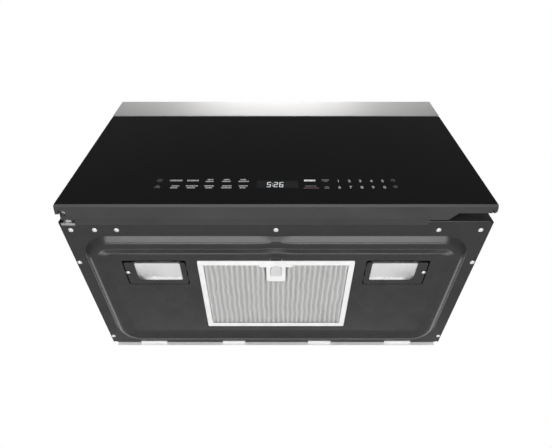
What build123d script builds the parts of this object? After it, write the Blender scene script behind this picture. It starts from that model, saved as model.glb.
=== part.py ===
"""Over the range microwave, in millimetres.

X runs to the right as seen by the cook, Y runs back to the wall and Z runs up. The origin is on the
wall face, in the middle of the mounting plate, level with the underside of the base pan's rim.
"""

from build123d import *
import math
import os

os.makedirs("parts", exist_ok=True)

# ------------------------------------------------------------------ driving dimensions
# whole appliance
overall_width = 759.0  # fits a 30 inch opening
overall_depth = 406.0  # door glass to wall
face_top = 420.0  # top of the stainless strip
case_sheet = 0.8
pan_sheet = 1.0
chassis_sheet = 1.2
seat_gap = 0.3  # between pieces that sit or slide against each other
shaft_gap = 0.05  # radial, between a shaft and its hole

# door
glass_thickness = 4.0
glass_bottom = 8.8
glass_top = 339.7
frame_front_wall = 4.0
front_layer_depth = 9.4
side_lip_depth = 16.5
side_lip_width = 6.0
door_inset = 8.0  # thick part of the door from the edge of the glass
door_frame_depth = 27.0
door_wall = 4.0
nose_depth = 3.6
nose_height = 5.2
underside_rear = -1.5  # height of the underside at its rear edge
lip_thickness = 1.2
lip_depth = 38.0  # rear edge of the lip, behind the glass face
lip_end_inset = 113.5  # right end of the lip from the edge of the door
lip_notch_gap = 2.4  # left end of the lip from the notch that shows the lower hinge
bottom_rail_height = 34.0
top_rail_height = 5.7
pull_width = 82.5
pull_slant = 17.0
pull_layer_depth = 14.5
pull_height = 105.0
pull_corner_radius = 5.0
latch_column_width = 95.0

# hinges
hinge_x_inset = 13.5  # pin axis from the edge of the glass
hinge_depth = 15.5
hinge_sheet = 2.5
hinge_arm_width = 9.0
hinge_eye_radius = 6.0
hinge_pin_radius = 2.5
hinge_pin_length = 20.0
hinge_slot_clear = 1.0
hinge_foot_inset = 1.5
hinge_foot_width = 26.0
hinge_foot_depth = 33.0
lower_arm_bottom = 8.2
upper_arm_bottom = 332.2
rivet_radius = 4.0
rivet_height = 0.9
sight_hole_radius = 5.0

# oven cavity
cavity_side_inset = 37.5
component_bay_width = 203.5  # from the cavity to the right side
cavity_floor = 60.0
cavity_height = 232.0
cavity_rear_inset = 31.8  # from the wall to the back of the cavity
cavity_sheet = 0.8
cavity_corner_radius = 12.0
front_frame_depth = 33.0  # front face of the oven's front frame, behind the glass face

# door inside
choke_band = 23.0
choke_top = 29.3
panel_depth = 24.0
panel_sheet = 1.0
choke_cover_rear = 31.6
choke_cover_sheet = 2.0
window_thickness = 3.2

# door latch
latch_inset = 48.5
latch_width = 6.0
hook_height = 10.0
hook_barb = 5.0
lower_hook_bottom = 150.0
hook_spacing = 112.0
hook_tip_depth = 57.0
hook_barb_length = 7.0
latch_travel = 5.0
latch_spring_radius = 4.0
latch_spring_wire = 0.5
latch_spring_coils = 10

# controls
touch_board_half_width = 240.0
touch_board_bottom = 42.0
touch_board_height = 56.0
board_thickness = 1.6
display_half_width = 41.0
display_bottom = 55.0
display_height = 26.0
display_depth = 9.0

# base pan
pan_front = 31.0
pan_wall_gap = 2.6
pan_front_flange = 12.0
pan_rear_corner = 14.0
pan_front_corner = 5.0
bead_side_inset = 36.5  # crest line from the side
bead_front = 80.0  # crest line behind the glass face
bead_rear_inset = 29.4  # crest line from the rear edge of the pan
bead_corner_radius = 55.0
bead_depth = 12.0
bead_panel_drop = 6.0
bead_outer_reach = 13.0
bead_crest_flat = 4.0
bead_inner_reach = 22.0
bead_blend = 6.0
pan_notch_depth = 11.0
pan_notch_width = 27.0

# grease filter
filter_front = 124.0
filter_rear_margin = 20.3  # from the filter to the bead's foot
filter_border = 11.0
filter_proud = 1.5
filter_thickness = 9.0
filter_sheet = 1.3
filter_opening_gap = 1.0
filter_lip_height = 10.0
pleat_count = 28
pleat_height = 4.7
pleat_sheet = 1.6
latch_plate_half_width = 18.0
latch_plate_length = 53.1
latch_pad_half_width = 11.3
latch_pad_length = 26.8
filter_latch_travel = 4.0
filter_tongue_width = 20.0
filter_tongue_length = 4.5
filter_tongue_inset = 59.0

# cooktop lamps
lamp_filter_gap = 22.5
lamp_bead_margin = 30.0
lamp_cover_length = 117.5
lamp_cover_front = 128.0
lamp_cover_width = 61.0
lamp_cover_sheet = 1.2
lamp_side_gap = 1.0
lamp_front_gap = 4.0
lens_length = 91.5
lens_thickness = 2.2
lens_lap = 2.5
lamp_window_length = 86.5
lamp_window_width = 48.0
lamp_housing_height = 20.0
lamp_screw_inset = 4.5
lamp_tab_length = 4.0

# screws
screw_head_radius = 4.3
screw_head_height = 2.2
screw_shank_radius = 1.9
screw_length = 8.0
screw_clear = 0.3

# wall plate
wall_plate_sheet = 1.5
wall_plate_side_inset = 10.5
wall_plate_drop = 7.0
wall_plate_top = 412.0
wall_window_side_inset = 144.5
wall_window_bottom = 55.0
wall_window_top = 345.0
wall_hole_radius = 3.5
stud_spacing = 406.4
wall_hole_bottom = 30.0
wall_hole_rise = 350.0
tab_reach = 6.0

# rear panel and case
rear_panel_wall_gap = 7.0
case_wall_gap = 3.5
case_lip = 14.0
top_seam = 80.0  # where the grille's roof meets the roof of the case
duct_width = 254.0
duct_length = 83.0
duct_wall_gap = 106.0  # front edge of the duct opening from the wall
cabinet_bolt_spacing = 610.0
cabinet_bolt_depth = 150.0
cabinet_bolt_hole_radius = 3.4

# top grille
strip_bottom = 341.5
grille_sheet = 0.8
louvre_bridge = 8.0
louvre_width = 6.0
louvre_margin = 29.5
louvre_pitch_y = 14.0
louvre_columns = 14
louvre_rows = 3

# chassis
chassis_height = 38.0
duct_wall_filter_gap = 11.0
duct_wall_front = 112.0
duct_wall_rear_inset = 30.0

# turntable
tray_wall_gap = 7.5
tray_thickness = 5.0
tray_rim_height = 10.0
tray_clear = 12.6  # underside of the tray above the cavity floor
roller_radius = 6.0
roller_width = 8.0
roller_track_inset = 57.5  # from the rim of the tray
roller_axle_radius = 1.5
ring_track_gap = 6.0
ring_width = 9.0
ring_thickness = 3.0
coupler_radius = 14.0
coupler_lobe_radius = 24.0
coupler_stem_radius = 6.0
turntable_shaft_radius = 2.9
turntable_motor_radius = 25.0
turntable_motor_height = 16.0

# magnetron side
waveguide_depth = 25.0
waveguide_front = 140.0
waveguide_rear = 250.0
waveguide_bottom = 185.0
waveguide_top = 275.0
feed_window_inset = 18.0
antenna_radius = 8.0
magnetron_half_length = 42.0
magnetron_width = 64.0
magnetron_half_height = 36.0
fin_count = 6

# vent blower
blower_wall_gap = 66.0
blower_axis_height = 358.0
scroll_radius = 54.0
scroll_sheet = 1.2
scroll_inner_end = 36.0
scroll_outer_end = 124.0
scroll_mouth_length = 70.0
blower_wheel_radius = 44.0
blower_blade_count = 24
blower_shaft_radius = 4.0
blower_motor_radius = 38.0
blower_motor_half_length = 33.5
inlet_radius = 34.0

# cooling fan
fan_bay_offset = 109.0
fan_height = 215.0
fan_plate = 120.0
fan_ring_radius = 52.0
fan_blade_radius = 46.0
fan_blade_count = 5
fan_shaft_radius = 2.5
fan_motor_radius = 22.0

# power inlet
inlet_side_inset = 49.5
inlet_wall_gap = 56.0
cord_hole_radius = 5.0
bushing_body_radius = 9.9

# high voltage parts and boards, in the bay to the right of the cavity
transformer_length = 95.0
transformer_depth = 50.0
transformer_height = 66.0
transformer_bay_gap = 24.0
transformer_front = 100.0
transformer_foot_overhang = 5.0
transformer_foot_side = 8.0
transformer_foot_sheet = 1.8
coil_length = 57.0
coil_overhang = 14.0
coil_bottom = 14.0
coil_height = 40.0
capacitor_bay_gap = 135.0
capacitor_length = 54.0
capacitor_depth = 32.0
capacitor_height = 92.0
terminal_height = 13.0
diode_radius = 4.0
diode_length = 22.0
control_board_width = 112.0
control_board_bottom = 180.0
control_board_height = 150.0
control_board_depth = 50.0
control_board_post_inset = 8.0
relay_size = 16.0
noise_board_bay_gap = 34.0
noise_board_length = 90.0
noise_board_width = 60.0
noise_board_drop = 27.2  # below the roof
noise_board_post_inset = 6.0
noise_coil_radius = 13.0
noise_coil_height = 18.0

# ------------------------------------------------------------------ worked out sizes
half_width = overall_width / 2
lip_right = half_width - lip_end_inset
pull_left = half_width - pull_width
latch_column_left = half_width - latch_column_width
latch_x = half_width - latch_inset
cavity_left = -half_width + cavity_side_inset
cavity_width = overall_width - cavity_side_inset - component_bay_width
pan_rear = overall_depth - pan_wall_gap
rear_panel_front = overall_depth - rear_panel_wall_gap
case_rear = overall_depth - case_wall_gap
bead_side = half_width - bead_side_inset
bead_rear = pan_rear - bead_rear_inset
duct_front = overall_depth - duct_wall_gap
duct_wall_rear = overall_depth - duct_wall_rear_inset
blower_axis_depth = overall_depth - blower_wall_gap
scroll_mouth = blower_axis_depth - scroll_mouth_length
inlet_x = half_width - inlet_side_inset
inlet_depth = overall_depth - inlet_wall_gap
wall_plate_half_width = half_width - wall_plate_side_inset
wall_window_half_width = half_width - wall_window_side_inset
louvre_pitch_x = (overall_width - 2 * louvre_margin) / louvre_columns
louvre_length = louvre_pitch_x - louvre_bridge
inner_half = half_width - case_sheet - seat_gap
lip_left = pan_notch_width + lip_notch_gap - inner_half
thick_half = half_width - door_inset
hinge_x = -half_width + hinge_x_inset
foot_left = hinge_foot_inset - inner_half
foot_right = foot_left + hinge_foot_width
cavity_right = cavity_left + cavity_width
cavity_roof = cavity_floor + cavity_height
cavity_front = front_frame_depth + chassis_sheet
cavity_rear = overall_depth - cavity_rear_inset
cavity_depth = cavity_rear - cavity_front
cavity_middle = cavity_left + cavity_width / 2
frame_rear = front_frame_depth + chassis_sheet
panel_underside = -bead_panel_drop
panel_top = panel_underside + pan_sheet
roof_underside = face_top - case_sheet
outer_foot = bead_outer_reach + bead_crest_flat / 2
inner_foot = bead_inner_reach + bead_crest_flat / 2
filter_rear = bead_rear - inner_foot - filter_rear_margin
lamp_inner = bead_side - inner_foot - lamp_bead_margin - lamp_cover_length
filter_half_width = lamp_inner - lamp_filter_gap
filter_tongue_spacing = 2 * (filter_half_width - filter_tongue_inset)
duct_wall_half_width = filter_half_width + duct_wall_filter_gap
filter_underside = panel_underside - filter_proud
tray_axis_depth = cavity_front + cavity_depth / 2
tray_radius = cavity_depth / 2 - tray_wall_gap
roller_track_radius = tray_radius - roller_track_inset
ring_outer_radius = roller_track_radius - ring_track_gap
ring_inner_radius = ring_outer_radius - ring_width
fan_x = cavity_right + fan_bay_offset
underside_slope = (nose_height - underside_rear) / (door_frame_depth - 1.5 - nose_depth)


# ------------------------------------------------------------------ drawing helpers
def behind(depth):
    """Y of a plane so far behind the face of the door glass."""
    return depth - overall_depth


def block(x, depth, z, mode=Mode.ADD):
    """A box between two X values, two depths behind the glass face and two heights."""
    with Locations(((x[0] + x[1]) / 2, behind((depth[0] + depth[1]) / 2), (z[0] + z[1]) / 2)):
        Box(x[1] - x[0], depth[1] - depth[0], z[1] - z[0], mode=mode)


def rod_z(x, depth, z, radius, mode=Mode.ADD):
    """An upright cylinder between two heights."""
    with Locations((x, behind(depth), (z[0] + z[1]) / 2)):
        Cylinder(radius, z[1] - z[0], mode=mode)


def rod_x(x, depth, z, radius, mode=Mode.ADD):
    """A cylinder along X."""
    with Locations(Location(((x[0] + x[1]) / 2, behind(depth), z), (0, 90, 0))):
        Cylinder(radius, x[1] - x[0], mode=mode)


def rod_y(x, depth, z, radius, mode=Mode.ADD):
    """A cylinder along Y."""
    with Locations(Location((x, behind((depth[0] + depth[1]) / 2), z), (90, 0, 0))):
        Cylinder(radius, depth[1] - depth[0], mode=mode)


def facing_front(x, depth, z):
    """Plane that faces the room, with its own X along the appliance's X."""
    return Plane(origin=(x, behind(depth), z), x_dir=(1, 0, 0), z_dir=(0, -1, 0))


def side_profile(x, points, mode=Mode.ADD):
    """Extrudes a polygon of (depth, height) points along X."""
    with BuildSketch(Plane.YZ.offset(x[0])) as outline:
        with BuildLine():
            Polyline([(behind(depth), height) for depth, height in points], close=True)
        make_face()
    extrude(outline.sketch, amount=x[1] - x[0], mode=mode)


def underside_height(depth):
    """Height of the door's sloping underside."""
    return nose_height - (depth - nose_depth) * underside_slope


# ------------------------------------------------------------------ base pan
screw_row = 51.0
front_screws = [(inset - half_width, screw_row) for inset in (16.6, 58.6, 97.4)]
front_screws += [(0.0, screw_row)]
front_screws += [(half_width - inset, screw_row) for inset in (91.4, 17.1)]
side_screw_inset = 6.0
side_screw_depths = (133.5, pan_rear - 25.4)
side_screws = [(side * (half_width - side_screw_inset), depth) for side in (-1, 1) for depth in side_screw_depths]
pan_screws = front_screws + side_screws

bead_middle = (bead_front + bead_rear) / 2
bead_half_length = (bead_rear - bead_front) / 2
flat_lap = 5.0
bead_points = [
    (outer_foot + flat_lap, 0.0),
    (outer_foot, 0.0),
    (bead_crest_flat / 2, -bead_depth),
    (-bead_crest_flat / 2, -bead_depth),
    (-inner_foot, panel_underside),
    (-inner_foot - flat_lap, panel_underside),
]
bead_fillets = [0, bead_blend, bead_blend / 2, bead_blend / 2, bead_blend * 2, 0]
with BuildPart() as half_bead:
    with BuildLine() as crest_line:
        FilletPolyline(
            (0, behind(bead_front)),
            (bead_side, behind(bead_front)),
            (bead_side, behind(bead_rear)),
            (0, behind(bead_rear)),
            radius=bead_corner_radius,
        )
    with BuildSketch(Plane.YZ):
        with BuildLine():
            lower = FilletPolyline(
                [(behind(bead_front) - out, height) for out, height in bead_points],
                radius=bead_fillets[1:-1],
            )
            upper = FilletPolyline(
                [(behind(bead_front) - out, height + pan_sheet) for out, height in bead_points],
                radius=bead_fillets[1:-1],
            )
            Line(lower @ 0, upper @ 0)
            Line(lower @ 1, upper @ 1)
        make_face()
    sweep(path=crest_line.wire())
    mirror(about=Plane.YZ)

with BuildPart() as base_pan:
    add(half_bead.part)
    with BuildSketch(Plane.XY):
        with Locations((0, behind((pan_front + pan_rear) / 2))):
            Rectangle(2 * inner_half, pan_rear - pan_front)
        rear_corners = vertices().group_by(Axis.Y)[-1]
        fillet(rear_corners, pan_rear_corner)
        front_corners = vertices().group_by(Axis.Y)[0]
        chamfer(front_corners, pan_front_corner)
        with Locations((0, behind(bead_middle))):
            RectangleRounded(
                2 * (bead_side + outer_foot + 1),
                2 * (bead_half_length + outer_foot + 1),
                bead_corner_radius + outer_foot + 1,
                mode=Mode.SUBTRACT,
            )
    extrude(amount=pan_sheet)
    with BuildSketch(Plane.XY.offset(panel_underside)):
        with Locations((0, behind(bead_middle))):
            RectangleRounded(
                2 * (bead_side - inner_foot - 1),
                2 * (bead_half_length - inner_foot - 1),
                bead_corner_radius - inner_foot - 1,
            )
    extrude(amount=pan_sheet)
    # front flange and the notch that shows the lower hinge
    flange_left = -inner_half + pan_notch_width + 6
    block((flange_left, inner_half - pan_front_corner), (pan_front, pan_front + pan_sheet), (0, pan_front_flange))
    block(
        (-half_width, -inner_half + pan_notch_width),
        (pan_front - 1, pan_front + pan_notch_depth),
        (-1, pan_front_flange + 1),
        mode=Mode.SUBTRACT,
    )
    # raised lip round the filter opening
    opening_x = filter_half_width + filter_opening_gap
    opening_front = filter_front - filter_opening_gap
    opening_rear = filter_rear + filter_opening_gap
    lip_top = panel_top + filter_lip_height
    block(
        (-opening_x - pan_sheet, opening_x + pan_sheet),
        (opening_front - pan_sheet, opening_rear + pan_sheet),
        (panel_underside, lip_top),
    )
    block((-opening_x, opening_x), (opening_front, opening_rear), (panel_underside - 1, lip_top + 1), Mode.SUBTRACT)
    # slots for the filter's tongues and the notch for its latch
    tongue_bottom = filter_underside + 3.5
    for side in (-1, 1):
        tongue_x = side * filter_tongue_spacing / 2
        block(
            (tongue_x - filter_tongue_width / 2 - 1, tongue_x + filter_tongue_width / 2 + 1),
            (opening_rear - 0.5, opening_rear + pan_sheet + 0.5),
            (tongue_bottom - seat_gap, tongue_bottom + 6.0),
            Mode.SUBTRACT,
        )
    nose_half_width = latch_pad_half_width - 1.3
    nose_reach = 4.2
    block(
        (-nose_half_width - 1.5, nose_half_width + 1.5),
        (filter_front - nose_reach - 0.8, opening_front + 0.5),
        (panel_underside - 1, lip_top + 1),
        Mode.SUBTRACT,
    )
    # lamp openings
    for side in (-1, 1):
        edges_x = sorted((side * (lamp_inner - lamp_side_gap), side * (lamp_inner + lamp_cover_length + lamp_side_gap)))
        block(
            edges_x,
            (lamp_cover_front - lamp_front_gap, lamp_cover_front + lamp_cover_width + lamp_side_gap),
            (panel_underside - 1, panel_top + 1),
            Mode.SUBTRACT,
        )
    for screw_x, screw_depth in pan_screws:
        rod_z(screw_x, screw_depth, (-1, pan_sheet + 1), screw_shank_radius + screw_clear, Mode.SUBTRACT)
base_pan.part.label = "base_pan"
export_step(base_pan.part, "parts/base_pan.step")

# ------------------------------------------------------------------ outer case
case_lip_bottom = pan_sheet + seat_gap
with BuildPart() as outer_case:
    for side in (-1, 1):
        wall_x = sorted((side * half_width, side * (half_width - case_sheet)))
        block(wall_x, (front_frame_depth, case_rear), (0, strip_bottom - 1.0))
        block(wall_x, (front_frame_depth, case_rear), (strip_bottom - 1.0, face_top))
        lip_x = sorted((side * half_width, side * (half_width - case_lip)))
        block(lip_x, (frame_rear + hinge_foot_depth + 8, case_rear), (case_lip_bottom, case_lip_bottom + case_sheet))
        rear_lip_x = sorted((side * half_width, side * (half_width - case_lip)))
        block(rear_lip_x, (case_rear - case_sheet, case_rear), (case_lip_bottom, face_top))
    block((-half_width, half_width), (top_seam + seat_gap, case_rear), (roof_underside, face_top))
    block((-half_width, half_width), (case_rear - case_sheet, case_rear), (face_top - case_lip, face_top))
    block(
        (-duct_width / 2, duct_width / 2),
        (duct_front, duct_front + duct_length),
        (roof_underside - 1, face_top + 1),
        Mode.SUBTRACT,
    )
    for side in (-1, 1):
        rod_z(
            side * cabinet_bolt_spacing / 2,
            cabinet_bolt_depth,
            (roof_underside - 1, face_top + 1),
            cabinet_bolt_hole_radius,
            Mode.SUBTRACT,
        )
    rod_z(inlet_x, inlet_depth, (roof_underside - 1, face_top + 1), bushing_body_radius + seat_gap, Mode.SUBTRACT)
    for screw_x, screw_depth in side_screws:
        rod_z(screw_x, screw_depth, (0.5, 4), screw_shank_radius + screw_clear, Mode.SUBTRACT)
    grille_screw_depth = top_seam + 9.0
    grille_screws = [(-250.0, grille_screw_depth), (0.0, grille_screw_depth), (250.0, grille_screw_depth)]
    for screw_x, screw_depth in grille_screws:
        rod_z(screw_x, screw_depth, (roof_underside - 1, face_top + 1), screw_shank_radius + screw_clear, Mode.SUBTRACT)
outer_case.part.label = "outer_case"
export_step(outer_case.part, "parts/outer_case.step")

# ------------------------------------------------------------------ rear panel
rear_screw_x = half_width - 39.5
rear_screw_places = ((rear_screw_x, 60.0), (rear_screw_x, face_top - 60.0), (150.0, face_top - 20.0))
rear_screws = [(side * x, z) for side in (-1, 1) for x, z in rear_screw_places]
vent_slots = (9, 5)
with BuildPart() as rear_panel:
    block(
        (-half_width + case_sheet + seat_gap, half_width - case_sheet - seat_gap),
        (rear_panel_front, rear_panel_front + pan_sheet),
        (case_lip_bottom + case_sheet + seat_gap, roof_underside - seat_gap),
    )
    with BuildSketch(facing_front(fan_x, rear_panel_front - 1, fan_height)):
        with GridLocations(10, 17, *vent_slots):
            SlotOverall(13, 3.2, rotation=90)
    extrude(amount=-4, mode=Mode.SUBTRACT)
    for screw_x, screw_z in rear_screws:
        rod_y(
            screw_x,
            (rear_panel_front - 1, rear_panel_front + pan_sheet + 1),
            screw_z,
            screw_shank_radius + screw_clear,
            Mode.SUBTRACT,
        )
rear_panel.part.label = "rear_panel"
export_step(rear_panel.part, "parts/rear_panel.step")

# ------------------------------------------------------------------ wall mounting plate
wall_plate_front = overall_depth - wall_plate_sheet
tab_spans = [(-314.0, -254.0), (-124.0, -72.0), (75.0, 127.0), (253.0, 313.0)]
with BuildPart() as wall_mounting_plate:
    block(
        (-wall_plate_half_width, wall_plate_half_width),
        (wall_plate_front, overall_depth),
        (-wall_plate_drop, wall_plate_top),
    )
    block(
        (-wall_window_half_width, wall_window_half_width),
        (wall_plate_front - 1, overall_depth + 1),
        (wall_window_bottom, wall_window_top),
        Mode.SUBTRACT,
    )
    for hole_x in (-stud_spacing / 2, stud_spacing / 2):
        for hole_z in (wall_hole_bottom, wall_hole_bottom + wall_hole_rise):
            rod_y(hole_x, (wall_plate_front - 1, overall_depth + 1), hole_z, wall_hole_radius, Mode.SUBTRACT)
    for tab_left, tab_right in tab_spans:
        block(
            (tab_left, tab_right),
            (pan_rear - tab_reach, wall_plate_front + 0.1),
            (-seat_gap - wall_plate_sheet, -seat_gap),
        )
wall_mounting_plate.part.label = "wall_mounting_plate"
export_step(wall_mounting_plate.part, "parts/wall_mounting_plate.step")

# ------------------------------------------------------------------ front frame of the oven
hook_bottoms = (lower_hook_bottom, lower_hook_bottom + hook_spacing)
hinge_cut_x = foot_right + 1.9
shelf_top = glass_top + 5.3
shelf_rear = 104.0
with BuildPart() as front_frame:
    block((-inner_half, inner_half), (front_frame_depth, frame_rear), (case_lip_bottom, shelf_top))
    block((-inner_half, inner_half), (frame_rear - 0.1, shelf_rear), (shelf_top - chassis_sheet, shelf_top))
    block((hinge_cut_x, inner_half), (frame_rear - 0.1, 62), (case_lip_bottom, case_lip_bottom + chassis_sheet))
    for side in (-1, 1):
        flange_x = sorted((side * inner_half, side * (inner_half - chassis_sheet)))
        block(flange_x, (frame_rear - 0.1, 48), (chassis_height - 10, shelf_top))
    # oven opening
    block(
        (cavity_left, cavity_right),
        (front_frame_depth - 1, frame_rear + 1),
        (cavity_floor, cavity_roof),
        Mode.SUBTRACT,
    )
    # room for the hinge brackets
    block(
        (-half_width, hinge_cut_x),
        (front_frame_depth - 1, frame_rear + 6),
        (0, lower_arm_bottom + hinge_sheet + 3),
        Mode.SUBTRACT,
    )
    block(
        (-half_width, hinge_cut_x),
        (front_frame_depth - 1, 60),
        (upper_arm_bottom - 1.3, shelf_top - chassis_sheet),
        Mode.SUBTRACT,
    )
    for hook_bottom in hook_bottoms:
        block(
            (latch_x - 8, latch_x + 9),
            (front_frame_depth - 1, frame_rear + 1),
            (hook_bottom - hook_barb - 3, hook_bottom + hook_height + latch_travel + 3),
            Mode.SUBTRACT,
        )
    for screw_x, screw_depth in front_screws[1:]:
        rod_z(screw_x, screw_depth, (0.5, 4), screw_shank_radius + screw_clear, Mode.SUBTRACT)
front_frame.part.label = "front_frame"
export_step(front_frame.part, "parts/front_frame.step")

# ------------------------------------------------------------------ cavity liner
flange_width = 8.0
feed_window_z = (waveguide_bottom + feed_window_inset, waveguide_top - feed_window_inset)
feed_window_depth = (waveguide_front + feed_window_inset, waveguide_rear - feed_window_inset)
with BuildPart() as cavity_liner:
    block(
        (cavity_left - cavity_sheet, cavity_right + cavity_sheet),
        (cavity_front + 0.1, cavity_rear + cavity_sheet),
        (cavity_floor - cavity_sheet, cavity_roof + cavity_sheet),
    )
    fillet(edges().filter_by(Axis.Z).group_by(Axis.Y)[-1], cavity_corner_radius + cavity_sheet)
    with BuildPart(mode=Mode.PRIVATE) as cavity_space:
        block((cavity_left, cavity_right), (cavity_front - 1, cavity_rear), (cavity_floor, cavity_roof))
        fillet(edges().filter_by(Axis.Z).group_by(Axis.Y)[-1], cavity_corner_radius)
    add(cavity_space.part, mode=Mode.SUBTRACT)
    with BuildSketch(facing_front(cavity_middle, cavity_front + 0.1, 0)):
        with Locations((0, (cavity_floor + cavity_roof) / 2)):
            Rectangle(cavity_width + 2 * flange_width, cavity_height + 2 * flange_width)
            Rectangle(cavity_width, cavity_height, mode=Mode.SUBTRACT)
    extrude(amount=-cavity_sheet)
    rod_z(
        cavity_middle,
        tray_axis_depth,
        (cavity_floor - 3, cavity_floor + 3),
        coupler_stem_radius + 2,
        Mode.SUBTRACT,
    )
    block((cavity_right - 1, cavity_right + 3), feed_window_depth, feed_window_z, Mode.SUBTRACT)
    lamp_window = (250.0, 90.0)
    with BuildSketch(Plane.YZ.offset(cavity_right - 1)):
        with Locations((behind(lamp_window[1]), lamp_window[0]), (behind(cavity_rear - 50), 120)):
            with GridLocations(6, 6, 5, 5):
                Circle(1.5)
    extrude(amount=4, mode=Mode.SUBTRACT)
cavity_liner.part.label = "cavity_liner"
export_step(cavity_liner.part, "parts/cavity_liner.step")

with BuildPart() as waveguide_cover:
    block(
        (cavity_right - seat_gap - 0.6, cavity_right - seat_gap),
        (feed_window_depth[0] - 8, feed_window_depth[1] + 8),
        (feed_window_z[0] - 8, feed_window_z[1] + 8),
    )
    fillet(edges().filter_by(Axis.X), 6)
waveguide_cover.part.label = "waveguide_cover"
export_step(waveguide_cover.part, "parts/waveguide_cover.step")

# ------------------------------------------------------------------ chassis base plate
chassis_top = chassis_height + chassis_sheet
chassis_half = inner_half - chassis_sheet - 2 * seat_gap
with BuildPart() as chassis_base_plate:
    block((-chassis_half, chassis_half), (frame_rear + seat_gap, rear_panel_front - seat_gap), (chassis_height, chassis_top))
    for side in (-1, 1):
        flange_x = sorted((side * chassis_half, side * (chassis_half - chassis_sheet)))
        block(flange_x, (50, rear_panel_front - seat_gap), (chassis_height, chassis_height + 12))
        wall_x = sorted((side * duct_wall_half_width, side * (duct_wall_half_width + chassis_sheet)))
        block(wall_x, (duct_wall_front, duct_wall_rear), (panel_top + seat_gap, chassis_height + 0.1))
    block(
        (-duct_wall_half_width, duct_wall_half_width),
        (duct_wall_front, duct_wall_front + chassis_sheet),
        (panel_top + seat_gap, chassis_height + 0.1),
    )
    block(
        (-duct_wall_half_width, duct_wall_half_width),
        (cavity_rear + cavity_sheet + 1, rear_panel_front),
        (chassis_height - 1, chassis_top + 1),
        Mode.SUBTRACT,
    )
chassis_base_plate.part.label = "chassis_base_plate"
export_step(chassis_base_plate.part, "parts/chassis_base_plate.step")

# ------------------------------------------------------------------ top grille and charcoal filter
with BuildPart() as top_grille:
    block((-half_width, half_width), (0, grille_sheet), (strip_bottom, face_top))
    block((-half_width, half_width), (0, front_frame_depth - seat_gap), (face_top - grille_sheet, face_top))
    block((-inner_half, inner_half), (front_frame_depth - 1, top_seam), (face_top - grille_sheet, face_top))
    block((-half_width, half_width), (0, front_frame_depth - 1), (strip_bottom, strip_bottom + grille_sheet))
    for side in (-1, 1):
        return_x = sorted((side * half_width, side * (half_width - grille_sheet)))
        block(return_x, (0, front_frame_depth - seat_gap), (strip_bottom, face_top))
    front_edges = edges().filter_by(Axis.X).group_by(Axis.Y)[0]
    fillet(front_edges.sort_by(Axis.Z)[-1], 0.7)
    with BuildSketch(Plane.XY.offset(face_top - grille_sheet - 1)):
        with Locations((0, behind(top_seam / 2))):
            with GridLocations(louvre_pitch_x, louvre_pitch_y, louvre_columns, louvre_rows):
                SlotOverall(louvre_length, louvre_width)
    extrude(amount=grille_sheet + 2, mode=Mode.SUBTRACT)
    # fixing lip under the roof of the case
    lip_z = (roof_underside - seat_gap - grille_sheet, roof_underside - seat_gap)
    block((-inner_half, inner_half), (top_seam - 8, top_seam + 18), lip_z)
    block((-inner_half, inner_half), (top_seam - 8, top_seam - 8 + grille_sheet), (lip_z[0], face_top - 0.1))
    for screw_x, screw_depth in grille_screws:
        rod_z(screw_x, screw_depth, (lip_z[0] - 1, face_top + 1), screw_shank_radius + screw_clear, Mode.SUBTRACT)
top_grille.part.label = "top_grille"
export_step(top_grille.part, "parts/top_grille.step")

charcoal_depth = (44.0, 60.0)
with BuildPart() as charcoal_filter:
    block((-170, 170), charcoal_depth, (shelf_top + seat_gap, lip_z[0] - 1.5))
    fillet(edges().filter_by(Axis.Y), 3)
    with BuildSketch(facing_front(0, charcoal_depth[0], (shelf_top + lip_z[0]) / 2)):
        with GridLocations(40, 27, 8, 2):
            RectangleRounded(34, 22, 2)
    extrude(amount=-4, mode=Mode.SUBTRACT)
charcoal_filter.part.label = "charcoal_filter"
export_step(charcoal_filter.part, "parts/charcoal_filter.step")

# ------------------------------------------------------------------ screws of the case
with BuildPart() as case_screws:
    for screw_x, screw_depth in pan_screws:
        rod_z(screw_x, screw_depth, (-screw_head_height, 0), screw_head_radius)
        rod_z(screw_x, screw_depth, (-0.5, screw_length), screw_shank_radius)
    for screw_x, screw_depth in grille_screws:
        rod_z(screw_x, screw_depth, (face_top, face_top + screw_head_height), screw_head_radius)
        rod_z(screw_x, screw_depth, (face_top - screw_length, face_top + 0.5), screw_shank_radius)
    rear_face = rear_panel_front + pan_sheet
    for screw_x, screw_z in rear_screws:
        rod_y(screw_x, (rear_face, rear_face + screw_head_height), screw_z, screw_head_radius)
        rod_y(screw_x, (rear_face - screw_length, rear_face + 0.5), screw_z, screw_shank_radius)
    lower_heads = edges().filter_by(GeomType.CIRCLE).group_by(Axis.Z)[0]
    fillet(lower_heads, 1.2)
    upper_heads = edges().filter_by(GeomType.CIRCLE).group_by(Axis.Z)[-1]
    fillet(upper_heads, 1.2)
case_screws.part.label = "case_screws"
export_step(case_screws.part, "parts/case_screws.step")

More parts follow.
